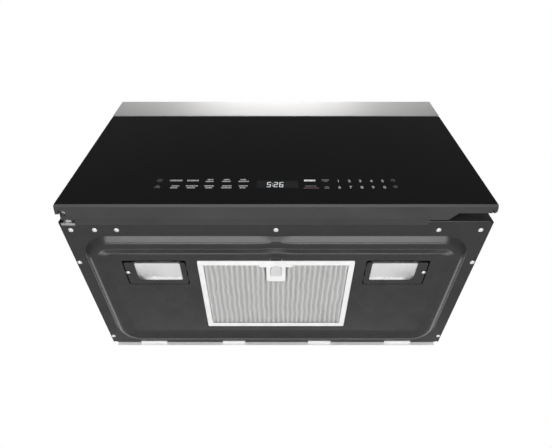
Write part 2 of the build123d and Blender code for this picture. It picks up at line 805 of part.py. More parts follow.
# ------------------------------------------------------------------ grease filter
filter_top = filter_underside + filter_thickness
inner_x = filter_half_width - filter_border
inner_front = filter_front + filter_border
inner_rear = filter_rear - filter_border
groove = 6.0
mesh_bottom = filter_underside + filter_sheet + 0.2
mesh_top = filter_top - 1.1
blade_z = (filter_underside + filter_sheet + 0.5, filter_underside + filter_sheet + 2.5)
plate_front = filter_front + 2.5
plate_rear = plate_front + latch_plate_length
pad_front = filter_front + 16.2
pad_rear = pad_front + latch_pad_length
with BuildPart() as grease_filter_frame:
    block((-filter_half_width, filter_half_width), (filter_front, filter_rear), (filter_underside, filter_top))
    fillet(edges().filter_by(Axis.Z), 3)
    bottom_rim = edges().group_by(Axis.Z)[0]
    fillet(bottom_rim, 0.8)
    block((-inner_x, inner_x), (inner_front, inner_rear), (filter_underside - 1, filter_top + 1), Mode.SUBTRACT)
    block(
        (-inner_x - groove, inner_x + groove),
        (inner_front - groove, inner_rear + groove),
        (filter_underside + filter_sheet, filter_top - 0.9),
        Mode.SUBTRACT,
    )
    # wider front border and the latch plate
    block((-32, 32), (filter_front + 3, inner_front + 4.5), (filter_underside, filter_underside + filter_sheet))
    block(
        (-latch_plate_half_width, latch_plate_half_width),
        (plate_front, plate_rear),
        (filter_underside - 0.3, filter_underside + filter_sheet),
    )
    block(
        (-latch_pad_half_width - 0.7, latch_pad_half_width + 0.7),
        (pad_front - 0.7, pad_rear + filter_latch_travel + 0.8),
        (filter_underside - 1, filter_underside + filter_sheet + 0.1),
        Mode.SUBTRACT,
    )
    block(
        (-nose_half_width - 0.5, nose_half_width + 0.5),
        (filter_front - 1, filter_front + filter_border),
        (blade_z[0] - 0.3, blade_z[1] + 0.3),
        Mode.SUBTRACT,
    )
    for side in (-1, 1):
        tongue_x = side * filter_tongue_spacing / 2
        block(
            (tongue_x - filter_tongue_width / 2, tongue_x + filter_tongue_width / 2),
            (filter_rear - 1, filter_rear + filter_tongue_length),
            (tongue_bottom, tongue_bottom + 1.2),
        )
grease_filter_frame.part.label = "grease_filter_frame"
export_step(grease_filter_frame.part, "parts/grease_filter_frame.step")

mesh_half = inner_x + groove - 2.5
pleat_pitch = 2 * mesh_half / pleat_count
with BuildPart() as grease_filter_mesh:
    mesh_front = inner_front - groove + 2.5
    mesh_rear = inner_rear + groove - 2.5
    with BuildSketch(facing_front(0, mesh_front, mesh_bottom)):
        with BuildLine():
            lower_edge = [
                (-mesh_half + step * pleat_pitch / 2, pleat_height * (step % 2)) for step in range(2 * pleat_count + 1)
            ]
            upper_edge = [(x, height + pleat_sheet) for x, height in reversed(lower_edge)]
            Polyline(lower_edge + upper_edge, close=True)
        make_face()
    extrude(amount=-(mesh_rear - mesh_front))
    block(
        (-latch_plate_half_width - 3, latch_plate_half_width + 3),
        (mesh_front - 1, plate_rear + 3),
        (mesh_bottom - 1, filter_top + 1),
        Mode.SUBTRACT,
    )
grease_filter_mesh.part.label = "grease_filter_mesh"
export_step(grease_filter_mesh.part, "parts/grease_filter_mesh.step")

with BuildPart() as grease_filter_latch:
    block((-nose_half_width, nose_half_width), (filter_front - nose_reach, plate_rear - 4), blade_z)
    block(
        (-latch_pad_half_width, latch_pad_half_width),
        (pad_front, pad_rear),
        (filter_underside - 0.6, blade_z[0] + 0.1),
    )
    pad_edges = edges().group_by(Axis.Z)[0]
    fillet(pad_edges, 0.5)
grease_filter_latch.part.label = "grease_filter_latch"
export_step(grease_filter_latch.part, "parts/grease_filter_latch.step")

# ------------------------------------------------------------------ cooktop lamps
cover_top = panel_underside + lamp_cover_sheet
lens_bottom = cover_top + 0.2
lens_top = lens_bottom + lens_thickness
housing_bottom = lens_top + 0.4
lamp_outer = lamp_inner + lamp_cover_length
lamp_screw_x = lamp_outer - lamp_screw_inset
lamp_screw_depth = lamp_cover_front + 27.0
window_inner = lamp_inner + 11.0
window_front = lamp_cover_front + 2.0
cover_rear = lamp_cover_front + lamp_cover_width
lamp_screw_shank = 1.75
for side, word in ((-1, "left"), (1, "right")):

    def span(near, far):
        """X range at this side between two distances from the middle."""
        return sorted((side * near, side * far))

    with BuildPart() as lamp_cover:
        block(span(lamp_inner, lamp_outer), (lamp_cover_front, cover_rear), (panel_underside, cover_top))
        fillet(edges().filter_by(Axis.Z), 4)
        with BuildSketch(Plane.XY.offset(panel_underside - 1)):
            window_x = side * (window_inner + lamp_window_length / 2)
            with Locations((window_x, behind(window_front + lamp_window_width / 2))):
                RectangleRounded(lamp_window_length, lamp_window_width, 4)
        extrude(amount=lamp_cover_sheet + 2, mode=Mode.SUBTRACT)
        for tab_depth in (lamp_cover_front + 12, lamp_cover_front + 40):
            tab_span = (tab_depth, tab_depth + 12)
            block(span(lamp_inner + 0.1, lamp_inner + 3), tab_span, (cover_top - 0.1, cover_top + 0.9))
            block(span(lamp_inner - lamp_tab_length, lamp_inner + 3), tab_span, (panel_top + seat_gap, cover_top + 0.9))
        rod_z(
            side * lamp_screw_x,
            lamp_screw_depth,
            (panel_underside - 1, cover_top + 1),
            lamp_screw_shank + screw_clear,
            Mode.SUBTRACT,
        )
    lamp_cover.part.label = f"lamp_cover_{word}"
    export_step(lamp_cover.part, f"parts/lamp_cover_{word}.step")

    with BuildPart() as lamp_lens:
        block(
            span(window_inner - lens_lap, window_inner + lens_length - lens_lap),
            (window_front - 0.8, window_front + lamp_window_width + lens_lap),
            (lens_bottom, lens_top),
        )
        fillet(edges().filter_by(Axis.Z), 3)
    lamp_lens.part.label = f"lamp_lens_{word}"
    export_step(lamp_lens.part, f"parts/lamp_lens_{word}.step")

    with BuildPart() as lamp_screw:
        head_x = side * lamp_screw_x
        rod_z(head_x, lamp_screw_depth, (panel_underside - screw_head_height, panel_underside), screw_head_radius - 0.7)
        rod_z(head_x, lamp_screw_depth, (panel_underside - 0.5, panel_underside + screw_length), lamp_screw_shank)
        fillet(edges().filter_by(GeomType.CIRCLE).group_by(Axis.Z)[0], 1.0)
    lamp_screw.part.label = f"lamp_screw_{word}"
    export_step(lamp_screw.part, f"parts/lamp_screw_{word}.step")

housing_inner = window_inner - 3.0
housing_outer = window_inner + lens_length - 8.0
housing_front = window_front + 2.0
housing_rear = window_front + lamp_window_width - 1.0
with BuildPart() as lamp_modules:
    for side in (-1, 1):
        housing_x = sorted((side * housing_inner, side * housing_outer))
        hollow_x = (housing_x[0] + 1.2, housing_x[1] - 1.2)
        block(housing_x, (housing_front, housing_rear), (housing_bottom, housing_bottom + lamp_housing_height))
        block(
            hollow_x,
            (housing_front + 1.2, housing_rear - 1.2),
            (housing_bottom - 1, housing_bottom + lamp_housing_height - 4),
            Mode.SUBTRACT,
        )
        foot_x = (side * (housing_inner + 35) - 18, side * (housing_inner + 35) + 18)
        front_foot = lamp_cover_front - lamp_front_gap - 6
        rear_foot = cover_rear + lamp_side_gap + 6
        block(foot_x, (front_foot, housing_front + 1), (housing_bottom, housing_bottom + 1.2))
        block(foot_x, (front_foot, front_foot + 4), (panel_top + seat_gap, housing_bottom + 1.2))
        block(foot_x, (housing_rear - 1, rear_foot), (housing_bottom, housing_bottom + 1.2))
        block(foot_x, (rear_foot - 4, rear_foot), (panel_top + seat_gap, housing_bottom + 1.2))
        ear_x = sorted((side * (housing_outer - 1), side * (lamp_outer + 1)))
        ear_depth = (lamp_screw_depth - 7, lamp_screw_depth + 7)
        block(ear_x, ear_depth, (housing_bottom, housing_bottom + 1.2))
        rod_z(
            side * lamp_screw_x,
            lamp_screw_depth,
            (housing_bottom - 1, housing_bottom + 2),
            lamp_screw_shank + 0.75,
            Mode.SUBTRACT,
        )
lamp_modules.part.label = "lamp_modules"
export_step(lamp_modules.part, "parts/lamp_modules.step")

# ------------------------------------------------------------------ door glass and frame
with BuildPart() as door_glass:
    block((-half_width, half_width), (0, glass_thickness), (glass_bottom, glass_top))
    fillet(edges().filter_by(Axis.Y), 2)
    chamfer(faces().sort_by(Axis.Y)[0].edges(), 0.5)
door_glass.part.label = "door_glass"
export_step(door_glass.part, "parts/door_glass.step")

frame_front = glass_thickness + 0.2
column_wall = door_wall - 1.5
pull_right_wall = thick_half
boss_right = hinge_x + 14.0
top_boss_bottom = 319.0
interior_top = glass_top - top_rail_height
lower_slot = (lower_arm_bottom - hinge_slot_clear, lower_arm_bottom + hinge_sheet + 2.5)
upper_slot = (upper_arm_bottom - 0.8, upper_arm_bottom + hinge_sheet + 1.7)
wall_after_front = frame_front + frame_front_wall
with BuildPart() as door_frame:
    # front layer behind the glass, with its side lips
    block((-half_width, half_width), (frame_front, front_layer_depth), (glass_bottom - 0.2, glass_top))
    for side in (-1, 1):
        lip_x = sorted((side * half_width, side * (half_width - side_lip_width)))
        block(lip_x, (frame_front, side_lip_depth), (glass_bottom - 0.2, glass_top))
    # thick part
    block((-thick_half, thick_half), (frame_front, door_frame_depth), (glass_bottom - 0.2, glass_top))
    # nose under the glass, sloping underside and lip
    side_profile(
        (-half_width, half_width),
        [
            (0.3, glass_bottom - 0.3),
            (nose_depth, nose_height),
            (side_lip_depth, underside_height(side_lip_depth)),
            (side_lip_depth, glass_bottom),
            (frame_front, glass_bottom),
            (frame_front, glass_bottom - 0.3),
        ],
    )
    side_profile(
        (-thick_half, thick_half),
        [
            (nose_depth, nose_height),
            (door_frame_depth - 1.5, underside_rear),
            (door_frame_depth, underside_rear),
            (door_frame_depth, glass_bottom),
            (nose_depth, glass_bottom - 0.4),
        ],
    )
    # gap between the left side lip and the thick part, open to the back
    block(
        (-half_width + side_lip_width, -thick_half),
        (front_layer_depth, side_lip_depth + 1),
        (-5, glass_top - 3),
        Mode.SUBTRACT,
    )
    block(
        (thick_half, half_width - side_lip_width),
        (front_layer_depth, side_lip_depth + 1),
        (-5, glass_top - 3),
        Mode.SUBTRACT,
    )
    # hollow behind the front wall, open at the back for the inner panel
    block(
        (-thick_half + door_wall, latch_column_left),
        (wall_after_front, door_frame_depth + 1),
        (bottom_rail_height, interior_top),
        Mode.SUBTRACT,
    )
    # hollow of the bottom rail
    side_profile(
        (boss_right + 3, latch_column_left - 4),
        [
            (wall_after_front, underside_height(wall_after_front) + 2.5),
            (door_frame_depth - 2.5, underside_rear + 2.8),
            (door_frame_depth - 2.5, bottom_rail_height + 0.1),
            (wall_after_front, bottom_rail_height + 0.1),
        ],
        Mode.SUBTRACT,
    )
    # hollow of the latch column
    block(
        (latch_column_left + column_wall, thick_half - column_wall),
        (wall_after_front, door_frame_depth - column_wall),
        (pull_height + 3, interior_top),
        Mode.SUBTRACT,
    )
    # finger pull
    with BuildSketch(Plane.XY.offset(underside_rear - 2)):
        with BuildLine():
            Polyline(
                (pull_left - 6, behind(door_frame_depth + 1)),
                (pull_left, behind(door_frame_depth)),
                (pull_left + pull_slant, behind(pull_layer_depth)),
                (half_width + 1, behind(pull_layer_depth)),
                (half_width + 1, behind(door_frame_depth + 1)),
                close=True,
            )
        make_face()
    extrude(amount=pull_height - underside_rear + 2, mode=Mode.SUBTRACT)
    pull_corner = edges().filter_by(Axis.Z).sort_by_distance((half_width, behind(pull_layer_depth), pull_height / 2))[0]
    fillet(pull_corner, pull_corner_radius)
    # lip under the pan
    block((lip_left, lip_right), (door_frame_depth - 2, lip_depth), (underside_rear, underside_rear + lip_thickness))
    # hinge bosses, slots and bores
    block((-thick_half, boss_right), (wall_after_front - 0.1, door_frame_depth), (top_boss_bottom, interior_top + 0.1))
    slot_x = (-half_width - 1, boss_right - 3)
    slot_depth = (glass_thickness + 1.9, door_frame_depth + 1)
    block(slot_x, slot_depth, lower_slot, Mode.SUBTRACT)
    block(slot_x, slot_depth, upper_slot, Mode.SUBTRACT)
    pin_bore = hinge_pin_radius + shaft_gap
    rod_z(hinge_x, hinge_depth, (lower_slot[1] - 0.1, lower_arm_bottom + hinge_pin_length + 1), pin_bore, Mode.SUBTRACT)
    rod_z(
        hinge_x,
        hinge_depth,
        (upper_arm_bottom + hinge_sheet - hinge_pin_length - 1, upper_slot[0] + 0.1),
        pin_bore,
        Mode.SUBTRACT,
    )
    rod_z(hinge_x, hinge_depth, (underside_rear - 2, lower_slot[0] + 0.1), sight_hole_radius, Mode.SUBTRACT)
    # oven window and touch board openings
    block((cavity_left + 4, cavity_right - 4), (frame_front - 1, wall_after_front + 1), (112, 300), Mode.SUBTRACT)
    block(
        (-touch_board_half_width - 4, touch_board_half_width + 4),
        (frame_front - 1, wall_after_front + 1),
        (touch_board_bottom - 4, touch_board_bottom + touch_board_height + 4),
        Mode.SUBTRACT,
    )
    # hook slots
    for hook_bottom in hook_bottoms:
        block(
            (latch_x - latch_width / 2 - 3, latch_x + latch_width / 2 + 3),
            (door_frame_depth - column_wall - 1, door_frame_depth + 1),
            (hook_bottom - 2, hook_bottom + hook_height + latch_travel + 2),
            Mode.SUBTRACT,
        )
door_frame.part.label = "door_frame"
export_step(door_frame.part, "parts/door_frame.step")

# ------------------------------------------------------------------ door inside
panel_x = (-thick_half + door_wall + 0.8, latch_column_left - 0.6)
ring_outer_x = (cavity_left - choke_band + 2, cavity_right + choke_band)
ring_outer_z = (cavity_floor - choke_band, cavity_roof + choke_band)
ring_inner_x = (cavity_left + 2, cavity_right - 2)
ring_inner_z = (cavity_floor + 1, cavity_roof - 1)
with BuildPart() as door_inner_panel:
    block(panel_x, (panel_depth, panel_depth + panel_sheet), (bottom_rail_height + 0.6, interior_top - 0.6))
    block(
        (panel_x[0] - 1, boss_right + 0.6),
        (panel_depth - 1, panel_depth + 2),
        (top_boss_bottom - 0.6, interior_top),
        Mode.SUBTRACT,
    )
    block(ring_outer_x, (panel_depth + 0.5, choke_top), ring_outer_z)
    block(ring_inner_x, (panel_depth + panel_sheet, choke_top + 1), ring_inner_z, Mode.SUBTRACT)
    block(
        (ring_outer_x[0] + 1, ring_outer_x[1] - 1),
        (panel_depth + panel_sheet, choke_top - 1),
        (ring_outer_z[0] + 1, ring_outer_z[1] - 1),
        Mode.SUBTRACT,
    )
    block(
        (ring_inner_x[0] - 1, ring_inner_x[1] + 1),
        (panel_depth + 0.5, choke_top),
        (ring_inner_z[0] - 1, ring_inner_z[1] + 1),
    )
    block(ring_inner_x, (panel_depth + panel_sheet, choke_top + 1), ring_inner_z, Mode.SUBTRACT)
door_inner_panel.part.label = "door_inner_panel"
export_step(door_inner_panel.part, "parts/door_inner_panel.step")

with BuildPart() as door_window:
    block(
        (ring_inner_x[0] + 0.5, ring_inner_x[1] - 0.5),
        (panel_depth + panel_sheet + seat_gap, panel_depth + panel_sheet + seat_gap + window_thickness),
        (ring_inner_z[0] + 0.5, ring_inner_z[1] - 0.5),
    )
    fillet(edges().filter_by(Axis.Y), 4)
door_window.part.label = "door_window"
export_step(door_window.part, "parts/door_window.step")

cover_x = (ring_outer_x[0] - 2.6, ring_outer_x[1] + 2.6)
cover_z = (ring_outer_z[0] - 2.4, ring_outer_z[1] + 2.4)
with BuildPart() as choke_cover:
    block(cover_x, (choke_cover_rear - choke_cover_sheet, choke_cover_rear), cover_z)
    fillet(edges().filter_by(Axis.Y), 3)
    block(cover_x, (panel_depth + panel_sheet + seat_gap, choke_cover_rear - 1), cover_z)
    block(
        (ring_outer_x[0] - 0.4, ring_outer_x[1] + 0.4),
        (panel_depth, choke_cover_rear - choke_cover_sheet),
        (ring_outer_z[0] - 0.4, ring_outer_z[1] + 0.4),
        Mode.SUBTRACT,
    )
    block(
        (ring_inner_x[0] + 2, ring_inner_x[1] - 2),
        (panel_depth, choke_cover_rear + 1),
        (ring_inner_z[0] + 2, ring_inner_z[1] - 2),
        Mode.SUBTRACT,
    )
    rear_rim = faces().sort_by(Axis.Y)[-1].edges()
    chamfer(rear_rim, 0.6)
choke_cover.part.label = "choke_cover"
export_step(choke_cover.part, "parts/choke_cover.step")

# ------------------------------------------------------------------ touch controls
board_front = glass_thickness + 0.6
with BuildPart() as touch_board:
    block(
        (-touch_board_half_width, touch_board_half_width),
        (board_front, board_front + board_thickness),
        (touch_board_bottom, touch_board_bottom + touch_board_height),
    )
    block(
        (-display_half_width - seat_gap, display_half_width + seat_gap),
        (board_front - 1, board_front + 3),
        (display_bottom - seat_gap, display_bottom + display_height + seat_gap),
        Mode.SUBTRACT,
    )
    for chip_x in (-160, -95, 95, 160):
        block(
            (chip_x - 7, chip_x + 7),
            (board_front + board_thickness - 0.1, board_front + board_thickness + 2),
            (touch_board_bottom + 18, touch_board_bottom + 32),
        )
touch_board.part.label = "touch_board"
export_step(touch_board.part, "parts/touch_board.step")

with BuildPart() as display_module:
    block(
        (-display_half_width, display_half_width),
        (board_front, board_front + display_depth),
        (display_bottom, display_bottom + display_height),
    )
    fillet(edges().filter_by(Axis.Y), 1.5)
display_module.part.label = "display_module"
export_step(display_module.part, "parts/display_module.step")

# ------------------------------------------------------------------ door latch
lever_depth = (12.0, 21.5)
lever_z = (lower_hook_bottom - 20, lower_hook_bottom + hook_spacing + 24)
with BuildPart() as door_latch_lever:
    block((latch_x - 5, latch_x + 5), lever_depth, lever_z)
    fillet(edges().filter_by(Axis.X), 2)
    for hook_bottom in hook_bottoms:
        hook_x = (latch_x - latch_width / 2, latch_x + latch_width / 2)
        block(hook_x, (lever_depth[1] - 1, hook_tip_depth), (hook_bottom, hook_bottom + hook_height))
        side_profile(
            hook_x,
            [
                (hook_tip_depth - hook_barb_length, hook_bottom + 0.1),
                (hook_tip_depth - hook_barb_length, hook_bottom - hook_barb),
                (hook_tip_depth - 2, hook_bottom - 1),
                (hook_tip_depth, hook_bottom + 0.1),
            ],
        )
door_latch_lever.part.label = "door_latch_lever"
export_step(door_latch_lever.part, "parts/door_latch_lever.step")

spring_depth = (lever_depth[0] + lever_depth[1]) / 2
spring_bottom = lever_z[1] + latch_spring_wire + seat_gap
spring_height = interior_top - seat_gap - latch_spring_wire - spring_bottom
spring_rise = spring_height / latch_spring_coils / (2 * math.pi)  # per radian
spring_steps = [step * math.pi / 2 for step in range(4 * latch_spring_coils + 1)]


def spring_point(turn):
    """Point of the wire's centre line after so many radians."""
    return Vector(
        latch_x + latch_spring_radius * math.cos(turn),
        behind(spring_depth) + latch_spring_radius * math.sin(turn),
        spring_bottom + spring_rise * turn,
    )


def spring_heading(turn):
    """Direction of the wire after so many radians."""
    across = latch_spring_radius
    return Vector(-across * math.sin(turn), across * math.cos(turn), spring_rise).normalized()


with BuildPart() as latch_spring:
    with BuildLine() as spring_wire:
        for turn, next_turn in zip(spring_steps, spring_steps[1:]):
            start, end = spring_point(turn), spring_point(next_turn)
            leaving, arriving = spring_heading(turn), spring_heading(next_turn)
            chord = end - start
            along = chord.dot(leaving + arriving)
            bend = 2 * (1 - leaving.dot(arriving))
            reach = (math.sqrt(along**2 + bend * chord.dot(chord)) - along) / bend
            first_corner = start + leaving * reach
            second_corner = end - arriving * reach
            middle = (first_corner + second_corner) * 0.5
            TangentArc(start, middle, tangent=leaving)
            TangentArc(middle, end, tangent=(second_corner - first_corner).normalized())
    with BuildSketch(Plane(origin=spring_point(0), z_dir=spring_heading(0))):
        Circle(latch_spring_wire)
    sweep(path=spring_wire.wire())
latch_spring.part.label = "latch_spring"
export_step(latch_spring.part, "parts/latch_spring.step")

board_x = latch_x + 9.0
with BuildPart() as latch_board:
    block((board_x, board_x + 3), (frame_rear + 0.2, hook_tip_depth + 7), (lower_hook_bottom - 22, hook_bottoms[1] + 28))
    block(
        (latch_x - 13, board_x + 1),
        (frame_rear + 0.2, frame_rear + 2.4),
        (lower_hook_bottom - 22, hook_bottoms[1] + 28),
    )
    for hook_bottom in hook_bottoms:
        block(
            (latch_x - 8, board_x),
            (frame_rear - 1, frame_rear + 4),
            (hook_bottom - hook_barb - 3, hook_bottom + hook_height + latch_travel + 3),
            Mode.SUBTRACT,
        )
        block((latch_x - 6, board_x + 1), (40, 48), (hook_bottom - 14, hook_bottom - hook_barb - 0.5))
latch_board.part.label = "latch_board"
export_step(latch_board.part, "parts/latch_board.step")

with BuildPart() as interlock_switches:
    for switch_z in (hook_bottoms[0], hook_bottoms[0] + 56, hook_bottoms[1]):
        block((board_x + 3.3, board_x + 13.5), (frame_rear + 4, hook_tip_depth + 4), (switch_z - 6, switch_z + 10))
        for terminal in (-3, 2, 7):
            block(
                (board_x + 13.4, board_x + 19),
                (frame_rear + 14, frame_rear + 19),
                (switch_z + terminal, switch_z + terminal + 0.8),
            )
interlock_switches.part.label = "interlock_switches"
export_step(interlock_switches.part, "parts/interlock_switches.step")

# ------------------------------------------------------------------ hinge brackets and pins
riser_front = frame_rear + 2.8
foot_rear = riser_front + hinge_foot_depth
hinge_screw = front_screws[0]


def hinge_bracket(arm_z, foot_z):
    """Arm with an eye, a riser behind the front frame, and a foot on the carcass."""
    rod_z(hinge_x, hinge_depth, arm_z, hinge_eye_radius)
    block(
        (hinge_x - hinge_arm_width / 2, hinge_x + hinge_arm_width / 2),
        (hinge_depth, riser_front + hinge_sheet),
        arm_z,
    )
    riser_z = (min(arm_z[0], foot_z[0]), max(arm_z[1], foot_z[1]))
    block((hinge_x - 8, hinge_x + 8), (riser_front, riser_front + hinge_sheet), riser_z)
    block((foot_left, foot_right), (riser_front, foot_rear), foot_z)


with BuildPart() as lower_hinge_bracket:
    lower_foot = (case_lip_bottom, case_lip_bottom + hinge_sheet)
    hinge_bracket((lower_arm_bottom, lower_arm_bottom + hinge_sheet), lower_foot)
    rod_z(hinge_x, hinge_depth, (0, 20), hinge_pin_radius, Mode.SUBTRACT)
    rod_z(hinge_screw[0], hinge_screw[1], (0, 8), screw_shank_radius + screw_clear, Mode.SUBTRACT)
lower_hinge_bracket.part.label = "lower_hinge_bracket"
export_step(lower_hinge_bracket.part, "parts/lower_hinge_bracket.step")

with BuildPart() as upper_hinge_bracket:
    upper_foot_top = shelf_top - chassis_sheet - seat_gap
    hinge_bracket(
        (upper_arm_bottom, upper_arm_bottom + hinge_sheet),
        (upper_foot_top - hinge_sheet, upper_foot_top),
    )
    rod_z(hinge_x, hinge_depth, (300, 360), hinge_pin_radius, Mode.SUBTRACT)
upper_hinge_bracket.part.label = "upper_hinge_bracket"
export_step(upper_hinge_bracket.part, "parts/upper_hinge_bracket.step")

with BuildPart() as hinge_pins:
    rod_z(hinge_x, hinge_depth, (lower_arm_bottom - 0.1, lower_arm_bottom + hinge_pin_length), hinge_pin_radius)
    rod_z(hinge_x, hinge_depth, (lower_arm_bottom - rivet_height, lower_arm_bottom), rivet_radius)
    upper_arm_top = upper_arm_bottom + hinge_sheet
    rod_z(hinge_x, hinge_depth, (upper_arm_top - hinge_pin_length, upper_arm_top + 0.1), hinge_pin_radius)
    rod_z(hinge_x, hinge_depth, (upper_arm_top, upper_arm_top + rivet_height), rivet_radius)
hinge_pins.part.label = "hinge_pins"
export_step(hinge_pins.part, "parts/hinge_pins.step")

# ------------------------------------------------------------------ turntable
tray_underside = cavity_floor + tray_clear
roller_axis_z = cavity_floor + seat_gap + roller_radius
with BuildPart() as glass_tray:
    with BuildSketch(Plane.XZ):
        with BuildLine():
            Polyline(
                (0, 0),
                (tray_radius - 14, 0),
                (tray_radius, tray_rim_height),
                (tray_radius, tray_rim_height + tray_thickness - 1),
                (tray_radius - 4, tray_rim_height + tray_thickness - 1),
                (tray_radius - 16, tray_thickness),
                (0, tray_thickness),
                close=True,
            )
        make_face()
        rim_corners = vertices().group_by(Axis.X)[-1] + vertices().group_by(Axis.X)[-2]
        fillet(rim_corners, 1.4)
    revolve(axis=Axis.Z)
    with PolarLocations(coupler_radius + 4, 3, start_angle=60):
        Box(8, 12, 9, align=(Align.CENTER, Align.CENTER, Align.CENTER))
glass_tray.part.position = (cavity_middle, behind(tray_axis_depth), tray_underside)
glass_tray.part.label = "glass_tray"
export_step(glass_tray.part, "parts/glass_tray.step")

coupler_z = (cavity_floor + 1.0, tray_underside - seat_gap)
with BuildPart() as drive_coupler:
    with BuildSketch(Plane.XY.offset(coupler_z[0])):
        with Locations((cavity_middle, behind(tray_axis_depth))):
            Circle(coupler_radius - 1)
            with PolarLocations((coupler_lobe_radius - 4) / 2, 3):
                SlotCenterToCenter(coupler_lobe_radius - 4, 8)
    extrude(amount=coupler_z[1] - coupler_z[0])
    rod_z(cavity_middle, tray_axis_depth, (cavity_floor - 2.5, coupler_z[0] + 1), coupler_stem_radius)
    rod_z(
        cavity_middle,
        tray_axis_depth,
        (cavity_floor - 5, coupler_z[0] + 6),
        turntable_shaft_radius + shaft_gap,
        Mode.SUBTRACT,
    )
drive_coupler.part.label = "drive_coupler"
export_step(drive_coupler.part, "parts/drive_coupler.step")

motor_top = cavity_floor - cavity_sheet - seat_gap
with BuildPart() as turntable_motor:
    rod_z(cavity_middle, tray_axis_depth, (motor_top - turntable_motor_height, motor_top - 1.2), turntable_motor_radius)
    block(
        (cavity_middle - 34, cavity_middle + 34),
        (tray_axis_depth - 7, tray_axis_depth + 7),
        (motor_top - 1.3, motor_top),
    )
    block(
        (cavity_middle - 12, cavity_middle + 12),
        (tray_axis_depth + turntable_motor_radius - 4, tray_axis_depth + turntable_motor_radius + 9),
        (motor_top - turntable_motor_height + 2, motor_top - 4),
    )
    rod_z(cavity_middle, tray_axis_depth, (motor_top - 2, motor_top + 1), coupler_stem_radius + 1.5, Mode.SUBTRACT)
    rod_z(cavity_middle, tray_axis_depth, (motor_top - 4, coupler_z[0] + 5), turntable_shaft_radius)
turntable_motor.part.label = "turntable_motor"
export_step(turntable_motor.part, "parts/turntable_motor.step")

roller_angles = (90.0, 210.0, 330.0)
ring_z = roller_axis_z - ring_thickness / 2
roller_inner = roller_track_radius - roller_width / 2
roller_outer = roller_track_radius + roller_width / 2
with BuildPart() as roller_ring:
    with BuildSketch(Plane.XY.offset(ring_z)):
        with Locations((cavity_middle, behind(tray_axis_depth))):
            Circle(ring_outer_radius)
            Circle(ring_inner_radius, mode=Mode.SUBTRACT)
    extrude(amount=ring_thickness)
    for angle in roller_angles:
        direction = (math.cos(math.radians(angle)), math.sin(math.radians(angle)), 0)
        hub = Plane(
            origin=(
                cavity_middle + ring_outer_radius * direction[0],
                behind(tray_axis_depth) + ring_outer_radius * direction[1],
                roller_axis_z,
            ),
            z_dir=direction,
        )
        with Locations(hub.offset(-2)):
            Cylinder(
                roller_axle_radius,
                roller_outer - ring_outer_radius + 4,
                align=(Align.CENTER, Align.CENTER, Align.MIN),
            )
        with Locations(hub.offset(roller_outer - ring_outer_radius + 0.5)):
            Cylinder(roller_axle_radius + 1.2, 1.5, align=(Align.CENTER, Align.CENTER, Align.MIN))
roller_ring.part.label = "roller_ring"
export_step(roller_ring.part, "parts/roller_ring.step")

for number, angle in enumerate(roller_angles, start=1):
    direction = (math.cos(math.radians(angle)), math.sin(math.radians(angle)), 0)
    start = Plane(
        origin=(
            cavity_middle + roller_inner * direction[0],
            behind(tray_axis_depth) + roller_inner * direction[1],
            roller_axis_z,
        ),
        z_dir=direction,
    )
    with BuildPart() as roller_wheel:
        with Locations(start):
            Cylinder(roller_radius, roller_width, align=(Align.CENTER, Align.CENTER, Align.MIN))
        fillet(edges().filter_by(GeomType.CIRCLE), 0.6)
        with Locations(start.offset(-1)):
            Cylinder(
                roller_axle_radius + shaft_gap,
                roller_width + 2,
                align=(Align.CENTER, Align.CENTER, Align.MIN),
                mode=Mode.SUBTRACT,
            )
    roller_wheel.part.label = f"roller_wheel_{number}"
    export_step(roller_wheel.part, f"parts/roller_wheel_{number}.step")

# ------------------------------------------------------------------ waveguide and magnetron
guide_start = cavity_right + cavity_sheet + seat_gap
guide_end = guide_start + waveguide_depth
antenna_depth = (waveguide_front + waveguide_rear) / 2
antenna_z = (waveguide_bottom + waveguide_top) / 2
with BuildPart() as waveguide:
    block((guide_start, guide_end), (waveguide_front, waveguide_rear), (waveguide_bottom, waveguide_top))
    block(
        (guide_start + 1, guide_end - 1),
        (waveguide_front + 1, waveguide_rear - 1),
        (waveguide_bottom + 1, waveguide_top - 1),
        Mode.SUBTRACT,
    )
    block((guide_start - 1, guide_start + 2), feed_window_depth, feed_window_z, Mode.SUBTRACT)
    rod_x((guide_end - 2, guide_end + 1), antenna_depth, antenna_z, antenna_radius + 4, Mode.SUBTRACT)
waveguide.part.label = "waveguide"
export_step(waveguide.part, "parts/waveguide.step")

